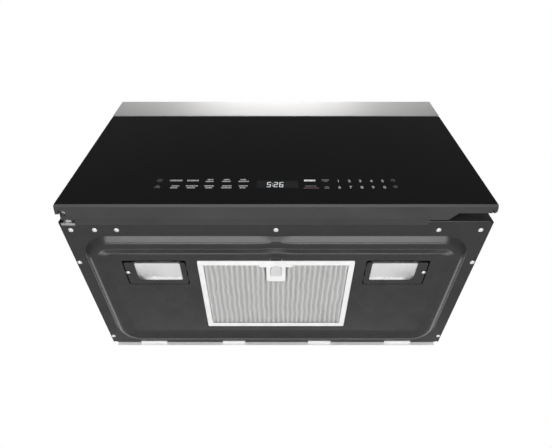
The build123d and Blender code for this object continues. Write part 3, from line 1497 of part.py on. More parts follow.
tube_start = guide_end + seat_gap
with BuildPart() as magnetron:
    block(
        (tube_start, tube_start + 1.5),
        (antenna_depth - magnetron_half_length - 8, antenna_depth + magnetron_half_length + 8),
        (antenna_z - magnetron_half_height - 4, antenna_z + magnetron_half_height + 4),
    )
    rod_x((tube_start - 18, tube_start + 1), antenna_depth, antenna_z, antenna_radius)
    shell_depth = (antenna_depth - magnetron_half_length, antenna_depth + magnetron_half_length)
    shell_z = (antenna_z - magnetron_half_height, antenna_z + magnetron_half_height)
    block((tube_start + 1.4, tube_start + magnetron_width), shell_depth, shell_z)
    block(
        (tube_start + 3, tube_start + magnetron_width - 1.5),
        (shell_depth[0] - 1, shell_depth[1] + 1),
        (shell_z[0] + 1.5, shell_z[1] - 1.5),
        Mode.SUBTRACT,
    )
    rod_x((tube_start + 2, tube_start + magnetron_width - 1), antenna_depth, antenna_z, 18)
    rod_x((tube_start + 2.9, tube_start + 13), antenna_depth, antenna_z, 27)
    rod_x((tube_start + magnetron_width - 12, tube_start + magnetron_width - 1.4), antenna_depth, antenna_z, 27)
    fin_pitch = (magnetron_width - 32) / (fin_count - 1)
    for fin in range(fin_count):
        fin_x = tube_start + 15.5 + fin * fin_pitch
        block((fin_x, fin_x + 0.8), (shell_depth[0] + 2, shell_depth[1] - 2), (shell_z[0] + 1.4, shell_z[1] - 1.4))
    block(
        (tube_start + magnetron_width - 0.1, tube_start + magnetron_width + 27),
        (antenna_depth - 24, antenna_depth + 24),
        (antenna_z - 24, antenna_z + 24),
    )
magnetron.part.label = "magnetron"
export_step(magnetron.part, "parts/magnetron.step")

# ------------------------------------------------------------------ high voltage supply
rest_z = chassis_top + seat_gap
core_left = cavity_right + transformer_bay_gap + transformer_foot_overhang
core_right = core_left + transformer_length - 2 * transformer_foot_overhang
core_depth = (transformer_front, transformer_front + transformer_depth)
coil_left = (core_left + core_right - coil_length) / 2
with BuildPart() as high_voltage_transformer:
    block(
        (core_left - transformer_foot_overhang, core_right + transformer_foot_overhang),
        (core_depth[0] - transformer_foot_side, core_depth[1] + transformer_foot_side),
        (rest_z, rest_z + transformer_foot_sheet),
    )
    block((core_left, core_right), core_depth, (rest_z + transformer_foot_sheet - 0.1, rest_z + transformer_height))
    block(
        (coil_left, coil_left + coil_length),
        (core_depth[0] - coil_overhang, core_depth[1] + coil_overhang),
        (rest_z + coil_bottom, rest_z + coil_bottom + coil_height),
    )
    coil_edges = edges().filter_by(Axis.Z).group_by(Axis.Y)
    fillet(coil_edges[0] + coil_edges[-1], coil_overhang / 2)
high_voltage_transformer.part.label = "high_voltage_transformer"
export_step(high_voltage_transformer.part, "parts/high_voltage_transformer.step")

can_left = cavity_right + capacitor_bay_gap
can_depth = (core_depth[0], core_depth[0] + capacitor_depth)
with BuildPart() as high_voltage_capacitor:
    block((can_left, can_left + capacitor_length), can_depth, (rest_z, rest_z + capacitor_height))
    fillet(edges().filter_by(Axis.Z), capacitor_depth / 2 - 0.5)
    for share in (0.28, 0.72):
        terminal_x = can_left + share * capacitor_length
        terminal_depth = (can_depth[0] + can_depth[1]) / 2
        block(
            (terminal_x - 3, terminal_x + 3),
            (terminal_depth - 0.4, terminal_depth + 0.4),
            (rest_z + capacitor_height - 1, rest_z + capacitor_height + terminal_height - 1),
        )
high_voltage_capacitor.part.label = "high_voltage_capacitor"
export_step(high_voltage_capacitor.part, "parts/high_voltage_capacitor.step")

diode_x = can_left + capacitor_length / 2 - 3
diode_front = can_depth[1] + 13
lead_front = diode_front + diode_length
with BuildPart() as high_voltage_diode:
    rod_y(diode_x, (diode_front, lead_front), rest_z + diode_radius, diode_radius)
    rod_y(diode_x, (lead_front - 1, lead_front + 11), rest_z + diode_radius, diode_radius / 5)
    block(
        (diode_x - diode_radius, diode_x + diode_radius),
        (lead_front + 10, lead_front + 23),
        (rest_z, rest_z + diode_radius + 1),
    )
high_voltage_diode.part.label = "high_voltage_diode"
export_step(high_voltage_diode.part, "parts/high_voltage_diode.step")

# ------------------------------------------------------------------ cooling fan
fan_half = fan_plate / 2
fan_plate_rear = rear_panel_front - 13.0
fan_plate_front = fan_plate_rear - 1.5
fan_ring_front = fan_plate_front - 17.0
bar_front = fan_ring_front - 18.0
fan_span = (fan_x - fan_half, fan_x + fan_half)
with BuildPart() as cooling_fan_housing:
    block(fan_span, (fan_plate_front, fan_plate_rear), (fan_height - fan_half, fan_height + fan_half))
    rod_y(fan_x, (fan_ring_front, fan_plate_front + 0.1), fan_height, fan_ring_radius + 1.2)
    rod_y(fan_x, (fan_ring_front - 1, fan_plate_rear + 1), fan_height, fan_ring_radius, Mode.SUBTRACT)
    block(fan_span, (bar_front, bar_front + 1.5), (fan_height - 7, fan_height + 7))
    for side in (-1, 1):
        post_x = sorted((fan_x + side * fan_half, fan_x + side * (fan_half - 6)))
        block(post_x, (bar_front, fan_plate_front + 0.1), (fan_height - 7, fan_height + 7))
        block(
            post_x,
            (fan_plate_rear - 0.1, rear_panel_front - seat_gap),
            (fan_height - fan_half, fan_height + fan_half),
        )
    rod_y(fan_x, (bar_front - 1, bar_front + 3), fan_height, fan_shaft_radius + 1, Mode.SUBTRACT)
cooling_fan_housing.part.label = "cooling_fan_housing"
export_step(cooling_fan_housing.part, "parts/cooling_fan_housing.step")

hub_front = fan_ring_front + 2.0
hub_rear = hub_front + 12.0
with BuildPart() as cooling_fan_motor:
    rod_y(fan_x, (bar_front - seat_gap - 20, bar_front - seat_gap), fan_height, fan_motor_radius)
    block(
        (fan_x - 24, fan_x + 24),
        (bar_front - seat_gap - 16, bar_front - seat_gap - 4),
        (fan_height - 34, fan_height + 14),
    )
    rod_y(fan_x, (bar_front - 2, hub_rear + 1), fan_height, fan_shaft_radius)
cooling_fan_motor.part.label = "cooling_fan_motor"
export_step(cooling_fan_motor.part, "parts/cooling_fan_motor.step")

with BuildPart() as cooling_fan_blade:
    rod_y(fan_x, (hub_front, hub_rear), fan_height, 9)
    blade_reach = fan_blade_radius - 6.0
    with Locations(facing_front(fan_x, (hub_front + hub_rear) / 2, fan_height)):
        with PolarLocations(6.0 + blade_reach / 2, fan_blade_count):
            Box(blade_reach, 20, 1.4, rotation=(28, 0, 0))
    rod_y(fan_x, (hub_front - 12, hub_rear + 12), fan_height, fan_shaft_radius + shaft_gap, Mode.SUBTRACT)
cooling_fan_blade.part.label = "cooling_fan_blade"
export_step(cooling_fan_blade.part, "parts/cooling_fan_blade.step")

# ------------------------------------------------------------------ vent blower
mouth_z = (blower_axis_height + 10, blower_axis_height + scroll_radius)
with BuildPart() as vent_blower_housing:
    for side in (-1, 1):
        scroll_x = sorted((side * scroll_inner_end, side * scroll_outer_end))
        hollow_x = (scroll_x[0] + scroll_sheet, scroll_x[1] - scroll_sheet)
        rod_x(scroll_x, blower_axis_depth, blower_axis_height, scroll_radius)
        block(scroll_x, (scroll_mouth, blower_axis_depth), mouth_z)
        rod_x(hollow_x, blower_axis_depth, blower_axis_height, scroll_radius - scroll_sheet, Mode.SUBTRACT)
        block(
            hollow_x,
            (scroll_mouth - 1, blower_axis_depth),
            (mouth_z[0] + scroll_sheet, mouth_z[1] - scroll_sheet),
            Mode.SUBTRACT,
        )
        outer_wall = sorted((side * (scroll_outer_end - 3), side * (scroll_outer_end + 1)))
        inner_wall = sorted((side * (scroll_inner_end - 1), side * (scroll_inner_end + 3)))
        rod_x(outer_wall, blower_axis_depth, blower_axis_height, inlet_radius, Mode.SUBTRACT)
        rod_x(inner_wall, blower_axis_depth, blower_axis_height, inlet_radius * 0.6, Mode.SUBTRACT)
        foot_x = sorted((side * (scroll_inner_end + 4), side * (scroll_outer_end - 4)))
        foot_top = blower_axis_height - scroll_radius + 0.6
        foot_bottom = cavity_roof + cavity_sheet + seat_gap
        block(foot_x, (blower_axis_depth - 6, blower_axis_depth + 6), (foot_bottom, foot_top))
    block(
        (-scroll_outer_end - 20, scroll_outer_end + 20),
        (blower_axis_depth - 54, cavity_rear - 4),
        (foot_bottom, foot_bottom + 1.2),
    )
    cradle_top = blower_axis_height - blower_motor_radius - seat_gap
    block((-20, 20), (blower_axis_depth - 15, blower_axis_depth + 15), (foot_bottom, cradle_top))
vent_blower_housing.part.label = "vent_blower_housing"
export_step(vent_blower_housing.part, "parts/vent_blower_housing.step")

with BuildPart() as vent_blower_motor:
    motor_x = (-blower_motor_half_length, blower_motor_half_length)
    rod_x(motor_x, blower_axis_depth, blower_axis_height, blower_motor_radius)
    fillet(edges().filter_by(GeomType.CIRCLE), 5)
    rod_x(
        (-blower_motor_half_length - 1, blower_motor_half_length + 1),
        blower_axis_depth,
        blower_axis_height,
        blower_shaft_radius + shaft_gap,
        Mode.SUBTRACT,
    )
vent_blower_motor.part.label = "vent_blower_motor"
export_step(vent_blower_motor.part, "parts/vent_blower_motor.step")

wheel_inner = scroll_inner_end + scroll_sheet + 3.0
wheel_outer = scroll_outer_end - scroll_sheet - 3.0
with BuildPart() as vent_blower_shaft:
    rod_x((-wheel_outer, wheel_outer), blower_axis_depth, blower_axis_height, blower_shaft_radius)
vent_blower_shaft.part.label = "vent_blower_shaft"
export_step(vent_blower_shaft.part, "parts/vent_blower_shaft.step")

blade_chord = 8.0
for side, word in ((-1, "left"), (1, "right")):
    with BuildPart() as vent_blower_wheel:
        disc_x = sorted((side * wheel_inner, side * (wheel_inner + 1.5)))
        rim_x = sorted((side * (wheel_outer - 2), side * wheel_outer))
        hub_x = sorted((side * wheel_inner, side * (wheel_inner + 16)))
        rod_x(disc_x, blower_axis_depth, blower_axis_height, blower_wheel_radius)
        rod_x(hub_x, blower_axis_depth, blower_axis_height, blower_shaft_radius + 5)
        rod_x(rim_x, blower_axis_depth, blower_axis_height, blower_wheel_radius)
        rod_x(rim_x, blower_axis_depth, blower_axis_height, blower_wheel_radius - blade_chord, Mode.SUBTRACT)
        blade_length = wheel_outer - wheel_inner - 1
        blade_plane = Plane(
            origin=(side * (wheel_inner + wheel_outer) / 2, behind(blower_axis_depth), blower_axis_height),
            z_dir=(1, 0, 0),
        )
        with Locations(blade_plane):
            with PolarLocations(blower_wheel_radius - blade_chord / 2 - 0.3, blower_blade_count):
                Box(blade_chord - 1, 1.0, blade_length, rotation=(0, 0, 25))
        rod_x(
            sorted((side * (wheel_inner - 1), side * (wheel_outer + 1))),
            blower_axis_depth,
            blower_axis_height,
            blower_shaft_radius + 0.02,
            Mode.SUBTRACT,
        )
    vent_blower_wheel.part.label = f"vent_blower_wheel_{word}"
    export_step(vent_blower_wheel.part, f"parts/vent_blower_wheel_{word}.step")

# ------------------------------------------------------------------ boards, lamp, cut-outs, bushing
board_left = cavity_right + transformer_bay_gap
board_right = board_left + control_board_width
board_top = control_board_bottom + control_board_height
board_rear = control_board_depth + board_thickness
with BuildPart() as control_board:
    block((board_left, board_right), (control_board_depth, board_rear), (control_board_bottom, board_top))
    for post_x in (board_left + control_board_post_inset, board_right - control_board_post_inset):
        for post_z in (control_board_bottom + control_board_post_inset, board_top - control_board_post_inset):
            rod_y(post_x, (frame_rear + 0.2, control_board_depth + 0.1), post_z, 3)
    for place in range(3):
        relay_left = board_left + relay_size + place * (relay_size + 10)
        block(
            (relay_left, relay_left + relay_size),
            (board_rear - 0.1, board_rear + relay_size),
            (board_top - 2 * relay_size, board_top - relay_size),
        )
    block((board_left + 15, board_left + 60), (board_rear - 0.1, board_rear + 30), (200, 238))
    block((board_right - 37, board_right - 12), (board_rear - 0.1, board_rear + 12), (200, 215))
control_board.part.label = "control_board"
export_step(control_board.part, "parts/control_board.step")

noise_left = cavity_right + noise_board_bay_gap
noise_right = noise_left + noise_board_length
noise_rear = inlet_depth - 10.0
noise_front = noise_rear - noise_board_width
noise_board_height = roof_underside - noise_board_drop
noise_middle = (noise_front + noise_rear) / 2
with BuildPart() as noise_filter_board:
    block(
        (noise_left, noise_right),
        (noise_front, noise_rear),
        (noise_board_height, noise_board_height + board_thickness),
    )
    for post_x in (noise_left + noise_board_post_inset, noise_right - noise_board_post_inset):
        for post_depth in (noise_front + noise_board_post_inset, noise_rear - noise_board_post_inset):
            rod_z(post_x, post_depth, (noise_board_height + 1, roof_underside - seat_gap), 3)
    coil_x = noise_left + noise_board_length / 3
    rod_z(coil_x, noise_middle, (noise_board_height - noise_coil_height, noise_board_height + 0.1), noise_coil_radius)
    block(
        (noise_right - 38, noise_right - 12),
        (noise_middle - 12, noise_middle + 2),
        (noise_board_height - noise_coil_height + 4, noise_board_height + 0.1),
    )
noise_filter_board.part.label = "noise_filter_board"
export_step(noise_filter_board.part, "parts/noise_filter_board.step")

with BuildPart() as cavity_lamp:
    lamp_start = cavity_right + cavity_sheet + seat_gap
    rod_x((lamp_start, lamp_start + 20), 90, 250, 11)
    fillet(edges().filter_by(GeomType.CIRCLE).group_by(Axis.X)[0], 8)
    rod_x((lamp_start + 19, lamp_start + 30), 90, 250, 9)
    block((lamp_start + 26, lamp_start + 30), (76, 104), (238, 262))
    for post_depth in (78, 102):
        rod_x((lamp_start, lamp_start + 27), post_depth, 240, 2)
cavity_lamp.part.label = "cavity_lamp"
export_step(cavity_lamp.part, "parts/cavity_lamp.step")

with BuildPart() as thermal_cutouts:
    cutout_z = cavity_roof + cavity_sheet + seat_gap
    cutout_x = cavity_right - 76.0
    rod_z(cutout_x, 120, (cutout_z, cutout_z + 9), 8)
    block((cutout_x - 12, cutout_x + 12), (116, 124), (cutout_z, cutout_z + 0.8))
    rod_x((guide_start, guide_start + 9), 290, 150, 8)
    block((guide_start, guide_start + 0.8), (286, 294), (138, 162))
thermal_cutouts.part.label = "thermal_cutouts"
export_step(thermal_cutouts.part, "parts/thermal_cutouts.step")

with BuildPart() as power_inlet_bushing:
    rod_z(inlet_x, inlet_depth, (roof_underside - 8, face_top + 2), bushing_body_radius)
    rod_z(inlet_x, inlet_depth, (face_top + 0.1, face_top + 2.5), bushing_body_radius + 3)
    fillet(edges().filter_by(GeomType.CIRCLE).group_by(Axis.Z)[-1], 1)
    rod_z(inlet_x, inlet_depth, (roof_underside - 6, roof_underside - seat_gap), bushing_body_radius + 1.6)
    rod_z(inlet_x, inlet_depth, (roof_underside - 10, face_top + 4), cord_hole_radius, Mode.SUBTRACT)
power_inlet_bushing.part.label = "power_inlet_bushing"
export_step(power_inlet_bushing.part, "parts/power_inlet_bushing.step")

samples_per_turn = 24
wire_points = [spring_point(step * 2 * math.pi / samples_per_turn) for step in range(samples_per_turn * latch_spring_coils)]
spring_gap = min(
    (far - near).length
    for place, near in enumerate(wire_points)
    for far in wire_points[place + samples_per_turn // 2 :]
)
print("latch spring: least gap of the wire to itself", round(spring_gap - 2 * latch_spring_wire, 2), "mm")
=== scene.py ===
"""Looks of an over the range microwave oven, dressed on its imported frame.

The frame's origin is the middle of the wall face, level with the underside of
the base pan's rim: X runs to the right, Y to the wall and Z up, in metres.
Sizes here are in millimetres, and a point is (x, depth, z), where depth is
counted from the face of the door glass.
"""

import logging
import math
from dataclasses import dataclass
from enum import Enum
from typing import Callable, Sequence

import bmesh
import bpy
import numpy as np
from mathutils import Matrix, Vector, geometry


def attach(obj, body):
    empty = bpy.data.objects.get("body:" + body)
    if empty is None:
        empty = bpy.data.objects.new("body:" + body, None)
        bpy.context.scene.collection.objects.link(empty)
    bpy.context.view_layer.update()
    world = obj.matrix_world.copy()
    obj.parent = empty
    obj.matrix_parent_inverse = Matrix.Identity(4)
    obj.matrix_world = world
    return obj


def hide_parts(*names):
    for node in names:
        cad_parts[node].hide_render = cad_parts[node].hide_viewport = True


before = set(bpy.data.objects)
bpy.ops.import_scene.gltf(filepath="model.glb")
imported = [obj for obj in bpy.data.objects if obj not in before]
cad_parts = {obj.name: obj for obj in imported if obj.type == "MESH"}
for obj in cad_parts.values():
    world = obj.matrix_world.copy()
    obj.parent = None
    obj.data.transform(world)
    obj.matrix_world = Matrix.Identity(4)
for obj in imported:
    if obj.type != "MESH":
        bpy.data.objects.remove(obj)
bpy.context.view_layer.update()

LOG = logging.getLogger("microwave")
MILLIMETRE = 0.001
OVERALL_DEPTH = 406.0
HALF_WIDTH = 379.5
FACE_TOP = 420.0
PANEL = -6.0
JOIN_WITHIN = 1e-6
SLIVER = 1e-7
EDGE_ANGLE = 40.0

Point = tuple[float, float, float]
Colour = Point
Flat = tuple[float, float]
Span = Flat
Socket = bpy.types.NodeSocket
Piece = bpy.types.Object
Look = dict[str, object]
Inputs = dict[str | int, object]


def placed(point: Point) -> Vector:
    """Place of a point (x, depth, z) in the row frame, in metres."""
    x, depth, z = point
    return Vector((x, depth - OVERALL_DEPTH, z)) * MILLIMETRE


def grey(level: float) -> Colour:
    """Grey of one level."""
    return (level, level, level)


def toned(colour: Colour, factor: float, lift: float = 0.0) -> Colour:
    """The colour times a factor, lifted by a little."""
    return tuple(min(1.0, channel * factor + lift) for channel in colour)


class Body(Enum):
    """Bodies of the frame that carry pieces made here."""

    CABINET = "cabinet"
    DOOR = "door"
    TURNTABLE = "turntable"
    FILTER = "grease_filter"
    LATCH = "filter_latch"
    LEFT_LAMP = "lamp_door_left"
    RIGHT_LAMP = "lamp_door_right"


class Facing(Enum):
    """Ways that a screw head may face, as unit vectors of the row frame."""

    DOWN = (0.0, 0.0, -1.0)
    UP = (0.0, 0.0, 1.0)
    WALL = (0.0, 1.0, 0.0)


LAMP_SIDES = ((-1, "left", Body.LEFT_LAMP), (1, "right", Body.RIGHT_LAMP))


# ---------------------------------------------------------------- node trees
class Nodes:
    """A node tree, with short calls for what the trees here have in common."""

    def __init__(self, tree: bpy.types.NodeTree) -> None:
        """Works on a tree."""
        self.tree = tree

    def put(self, socket: Socket, value: object) -> None:
        """Links an output to a socket, or sets the socket's own value."""
        if isinstance(value, bpy.types.NodeSocket):
            self.tree.links.new(value, socket)
        else:
            socket.default_value = value

    def add(self, kind: str, inputs: Inputs | None = None, **settings: object) -> bpy.types.Node:
        """New node, with its settings and inputs.

        Args:
            kind: Blender's name of the node type.
            inputs: outputs or plain values, by the socket's name or place.
            **settings: values for the node's own properties.

        Returns:
            The node.
        """
        node = self.tree.nodes.new(kind)
        for key, value in settings.items():
            setattr(node, key, value)
        for key, value in (inputs or {}).items():
            self.put(node.inputs[key], value)
        return node

    def get(self, kind: str, inputs: Inputs | None = None, **settings: object) -> Socket:
        """First output of a new node."""
        return self.add(kind, inputs, **settings).outputs[0]

    def sum(self, operation: str, first: object, second: object = 0.0) -> Socket:
        """One arithmetic step on numbers."""
        return self.get("ShaderNodeMath", {0: first, 1: second}, operation=operation)


class Graph(Nodes):
    """A material's node tree, in the object's own coordinates."""

    def __init__(self, name: str) -> None:
        """Starts a material of that name."""
        self.material = bpy.data.materials.new(name)
        self.material.use_nodes = True
        super().__init__(self.material.node_tree)
        self.shader = self.tree.nodes["Principled BSDF"]

    def place(self, stretch: Point = (1.0, 1.0, 1.0), lean: float = 0.0) -> Socket:
        """Object coordinates, stretched and then leant about Y by an angle in degrees."""
        source = self.add("ShaderNodeTexCoord").outputs["Object"]
        turn = (0.0, math.radians(lean), 0.0)
        return self.get("ShaderNodeMapping", {"Vector": source, "Scale": stretch, "Rotation": turn})

    def axes(self) -> Sequence[Socket]:
        """The object's own X, Y and Z, in metres."""
        return self.add("ShaderNodeSeparateXYZ", {0: self.place()}).outputs

    def noise(self, scale: float, detail: float = 3.0, rough: float = 0.55, **place: object) -> Socket:
        """Noise as a number about one half.

        Args:
            scale: waves to the metre.
            detail: octaves.
            rough: weight of the finer octaves.
            **place: stretch and lean of the coordinates.

        Returns:
            The factor output.
        """
        inputs = {"Vector": self.place(**place), "Scale": scale, "Detail": detail, "Roughness": rough}
        return self.get("ShaderNodeTexNoise", inputs)

    def cells(self, scale: float, output: str = "Distance", **place: object) -> Socket:
        """An output of cells, with so many cells to the metre."""
        found = self.add("ShaderNodeTexVoronoi", {"Vector": self.place(**place), "Scale": scale})
        return found.outputs[output]

    def range(self, value: Socket, new: Span = (0.0, 1.0), old: Span = (0.3, 0.7)) -> Socket:
        """A value moved from its old range to a new one, held at its ends."""
        ends = {"From Min": old[0], "From Max": old[1], "To Min": new[0], "To Max": new[1]}
        return self.add("ShaderNodeMapRange", {"Value": value, **ends}).outputs["Result"]

    def mix(self, factor: object, first: object, second: object) -> Socket:
        """Two colours mixed: the first where the factor is zero, the second where it is one."""
        ends = [(*end, 1.0) if isinstance(end, tuple) else end for end in (first, second)]
        return self.add("ShaderNodeMix", {0: factor, 6: ends[0], 7: ends[1]}, data_type="RGBA").outputs[2]

    def bump(self, height: Socket, distance: float, strength: float = 1.0) -> None:
        """Raises the surface by a height of which one stands for a distance in millimetres."""
        inputs = {"Strength": strength, "Distance": distance * MILLIMETRE, "Height": height}
        self.put(self.shader.inputs["Normal"], self.get("ShaderNodeBump", inputs))


# ---------------------------------------------------------------- finishes
@dataclass(frozen=True)
class Finish:
    """A surface finish, kept as one material."""

    name: str

    def look(self, g: Graph) -> Look:
        """Adds the finish's nodes.

        Args:
            g: the material's tree.

        Returns:
            Outputs and plain values for the shader, by the sockets' names.
        """
        raise NotImplementedError

    def material(self) -> bpy.types.Material:
        """The finish's material, built the first time that it is asked for."""
        found = bpy.data.materials.get(self.name)
        if found:
            return found
        g = Graph(self.name)
        for key, value in self.look(g).items():
            g.put(g.shader.inputs[key], value)
        return g.material


@dataclass(frozen=True)
class BrushedSteel(Finish):
    """Sheet brushed along its length."""

    tone: Colour = (0.62, 0.615, 0.61)
    roughness: Span = (0.36, 0.42)

    def look(self, g: Graph) -> Look:
        """Fine lines along X, with a slow change in gloss."""
        lines = g.noise(2600.0, 4.0, 0.7, stretch=(0.006, 1.0, 1.0))
        slow = g.noise(9.0, 2.0, stretch=(0.4, 1.0, 1.0))
        tone = g.mix(g.range(lines), toned(self.tone, 0.9), self.tone)
        rough = g.range(g.sum("MULTIPLY", g.sum("ADD", slow, lines), 0.5), self.roughness)
        g.bump(lines, 0.012, 0.5)
        return {"Base Color": tone, "Metallic": 1.0, "Roughness": rough, "Anisotropic": 0.5}


@dataclass(frozen=True)
class TexturedPaint(Finish):
    """Baked powder paint with a fine texture."""

    tone: Colour
    roughness: Span
    grain: float = 1500.0
    depth: float = 0.03

    def look(self, g: Graph) -> Look:
        """Fine lumps, a faint mottle and dust."""
        mottle = g.noise(28.0)
        dust = g.range(g.noise(420.0, 2.0), (0.0, 0.35), (0.62, 0.8))
        light = toned(self.tone, 1.25, 0.004)
        tone = g.mix(g.range(mottle, (0.0, 0.55), (0.35, 0.7)), self.tone, light)
        tone = g.mix(dust, tone, light)
        g.bump(g.noise(self.grain, 2.0, 0.6), self.depth, 0.6)
        return {"Base Color": tone, "Roughness": g.range(mottle, self.roughness), "Specular IOR Level": 0.5}


@dataclass(frozen=True)
class Galvanised(Finish):
    """Zinc coated sheet with its spangle."""

    tone: Colour = (0.66, 0.67, 0.68)
    spangle: float = 120.0
    roughness: Span = (0.32, 0.5)
    contrast: float = 0.14
    metallic: float = 0.85

    def look(self, g: Graph) -> Look:
        """Cells of slightly different tone and gloss, and faint scuffs."""
        cell = g.add("ShaderNodeSeparateColor", {0: g.cells(self.spangle, "Color")}).outputs
        tone = g.mix(cell[0], toned(self.tone, 1.0 - self.contrast), self.tone)
        g.bump(g.noise(600.0, stretch=(0.15, 1.0, 1.0)), 0.008, 0.4)
        rough = g.range(cell[1], self.roughness, (0.0, 1.0))
        return {"Base Color": tone, "Metallic": self.metallic, "Roughness": rough}


@dataclass(frozen=True)
class Enamel(Finish):
    """Fired enamel with small specks under a smooth skin."""

    tone: Colour = (0.52, 0.52, 0.5)
    speck: Colour = (0.2, 0.2, 0.2)
    roughness: Span = (0.22, 0.28)

    def look(self, g: Graph) -> Look:
        """Specks and the slight waves of a fired skin."""
        specks = g.range(g.cells(520.0), (0.5, 0.0), (0.12, 0.2))
        sparse = g.range(g.noise(150.0, 2.0), (0.0, 1.0), (0.5, 0.6))
        tone = g.mix(g.sum("MULTIPLY", specks, sparse), self.tone, self.speck)
        waves = g.noise(220.0, 1.0)
        g.bump(waves, 0.03, 0.3)
        rough = g.range(waves, self.roughness)
        return {"Base Color": tone, "Roughness": rough, "Coat Weight": 0.4, "Coat Roughness": 0.08}


@dataclass(frozen=True)
class Moulding(Finish):
    """Moulded plastic or rubber with a spark eroded grain."""

    tone: Colour = (0.012, 0.012, 0.013)
    roughness: Span = (0.4, 0.5)
    grain: float = 1900.0
    depth: float = 0.02
    level: float = 0.5

    def look(self, g: Graph) -> Look:
        """Fine grain, flow marks and rubbed spots."""
        flow = g.noise(22.0, stretch=(0.5, 1.0, 1.6))
        tone = g.mix(g.range(flow, old=(0.35, 0.7)), self.tone, toned(self.tone, 1.2, 0.002))
        g.bump(g.cells(self.grain), self.depth, 0.5)
        rough = g.range(flow, self.roughness)
        return {"Base Color": tone, "Roughness": rough, "Specular IOR Level": self.level}


@dataclass(frozen=True)
class PrintedGlass(Finish):
    """Polished glass printed black on its back."""

    tone: Colour = (0.0035, 0.0035, 0.004)
    roughness: Span = (0.035, 0.07)

    def look(self, g: Graph) -> Look:
        """Deep black under a clear skin, with traces of wiping."""
        wiping = g.noise(14.0, 4.0, 0.6, stretch=(1.0, 1.0, 0.35), lean=24.0)
        tone = g.mix(g.noise(5.0, 1.0), self.tone, toned(self.tone, 1.5))
        return {"Base Color": tone, "Roughness": g.range(wiping, self.roughness, (0.45, 0.75)), "IOR": 1.5}


@dataclass(frozen=True)
class ClearGlass(Finish):
    """Glass that light passes, clear or frosted."""

    tone: Colour
    roughness: Span = (0.02, 0.05)
    passing: float = 1.0

    def look(self, g: Graph) -> Look:
        """Glass with a slight change in its gloss."""
        haze = g.noise(40.0)
        tone = g.mix(g.range(haze, (0.0, 0.5)), self.tone, grey(0.97))
        rough = g.range(haze, self.roughness)
        return {"Base Color": tone, "Roughness": rough, "Transmission Weight": self.passing, "IOR": 1.5}


@dataclass(frozen=True)
class SatinAluminium(Finish):
    """Bare aluminium sheet."""

    tone: Colour
    roughness: Span
    metallic: float

    def look(self, g: Graph) -> Look:
        """Rolling lines and a soft mottle."""
        lines = g.noise(900.0, stretch=(1.0, 0.05, 1.0))
        tone = g.mix(g.range(g.noise(60.0), (0.2, 1.0)), toned(self.tone, 0.88), self.tone)
        g.bump(lines, 0.01, 0.4)
        return {"Base Color": tone, "Metallic": self.metallic, "Roughness": g.range(lines, self.roughness)}


@dataclass(frozen=True)
class PleatedMesh(Finish):
    """Aluminium mesh in folds, with painted shade that darkens it where the folds are deep."""

    tone: Colour = (0.83, 0.83, 0.825)
    # share of the tone left at the bottom of a fold: painted shade
    valley_shade: float = 0.74
    shade_heights: Span = (-5.9, -2.3)
    metallic: float = 0.35

    def look(self, g: Graph) -> Look:
        """Painted shade by height, with slow bands along the folds that vary its strength."""
        # painted shade mask: one at the bottom of a fold, found from its height
        deep = g.range(g.axes()[2], old=tuple(height * MILLIMETRE for height in self.shade_heights))
        bands = g.noise(60.0, 2.0, stretch=(1.0, 0.12, 1.0))
        # painted shade: darker with the depth of the fold, more in some bands than others
        painted_valley_shade = g.sum("MULTIPLY", deep, g.range(bands, (0.7, 1.0)))
        tone = g.mix(painted_valley_shade, self.tone, toned(self.tone, self.valley_shade))
        return {"Base Color": tone, "Metallic": self.metallic, "Roughness": g.range(bands, (0.42, 0.55))}


@dataclass(frozen=True)
class LampLens(Finish):
    """Frosted lens with painted light and shade: pale at its front, a painted highlight along its rear edge,
    painted shade towards its outer rear and a painted shadow in that corner.
    """

    near: Flat = (182.5, 130.0)
    size: Flat = (86.5, 48.0)
    level: float = 0.74
    haze: Span = (-0.07, 0.07)
    # painted light and shade: shade over the outer rear, a highlight along the rear edge, a shadow in the
    # outer rear corner
    painted_light_zones: tuple[tuple[float, Span, Span, Span, Span], ...] = (
        (0.42, (0.35, 1.0), (0.15, 1.0), (0.1, 0.75), (0.0, 1.0)),
        (0.93, (0.72, 0.84), (1.0, 0.0), (0.8, 0.88), (0.0, 1.0)),
        (0.1, (0.82, 0.97), (0.0, 1.0), (0.66, 0.86), (0.0, 1.0)),
    )

    def look(self, g: Graph) -> Look:
        """Painted light and shade, each with its level, by the shares of the way out and back across the
        lens.
        """
        x, depth, _ = g.axes()
        haze = g.range(g.noise(90.0), self.haze)
        near = (self.near[0], self.near[1] - OVERALL_DEPTH)
        shares = []
        for value, start, size in zip((g.sum("ABSOLUTE", x), depth), near, self.size):
            past = g.sum("SUBTRACT", value, start * MILLIMETRE)
            shares.append(g.sum("ADD", g.sum("DIVIDE", past, size * MILLIMETRE), haze))
        tone = g.mix(0.0, grey(self.level), grey(self.level))
        # lay on the painted shade, the painted highlight and the painted shadow one after another
        for level, out_old, out_new, back_old, back_new in self.painted_light_zones:
            out = g.range(shares[0], out_new, out_old)
            tone = g.mix(g.sum("MULTIPLY", out, g.range(shares[1], back_new, back_old)), tone, grey(level))
        g.bump(g.cells(700.0), 0.12, 0.5)
        rough = g.range(haze, (0.4, 0.5), self.haze)
        return {"Base Color": tone, "Roughness": rough, "Transmission Weight": 0.12, "IOR": 1.45}


@dataclass(frozen=True)
class BrightPlate(Finish):
    """Bright zinc or nickel plate on screws and pins."""

    tone: Colour
    metallic: float

    def look(self, g: Graph) -> Look:
        """Turned plate with small stains."""
        stains = g.noise(900.0)
        tone = g.mix(g.range(stains, old=(0.45, 0.75)), self.tone, toned(self.tone, 0.75))
        return {"Base Color": tone, "Metallic": self.metallic, "Roughness": g.range(stains, (0.22, 0.36))}


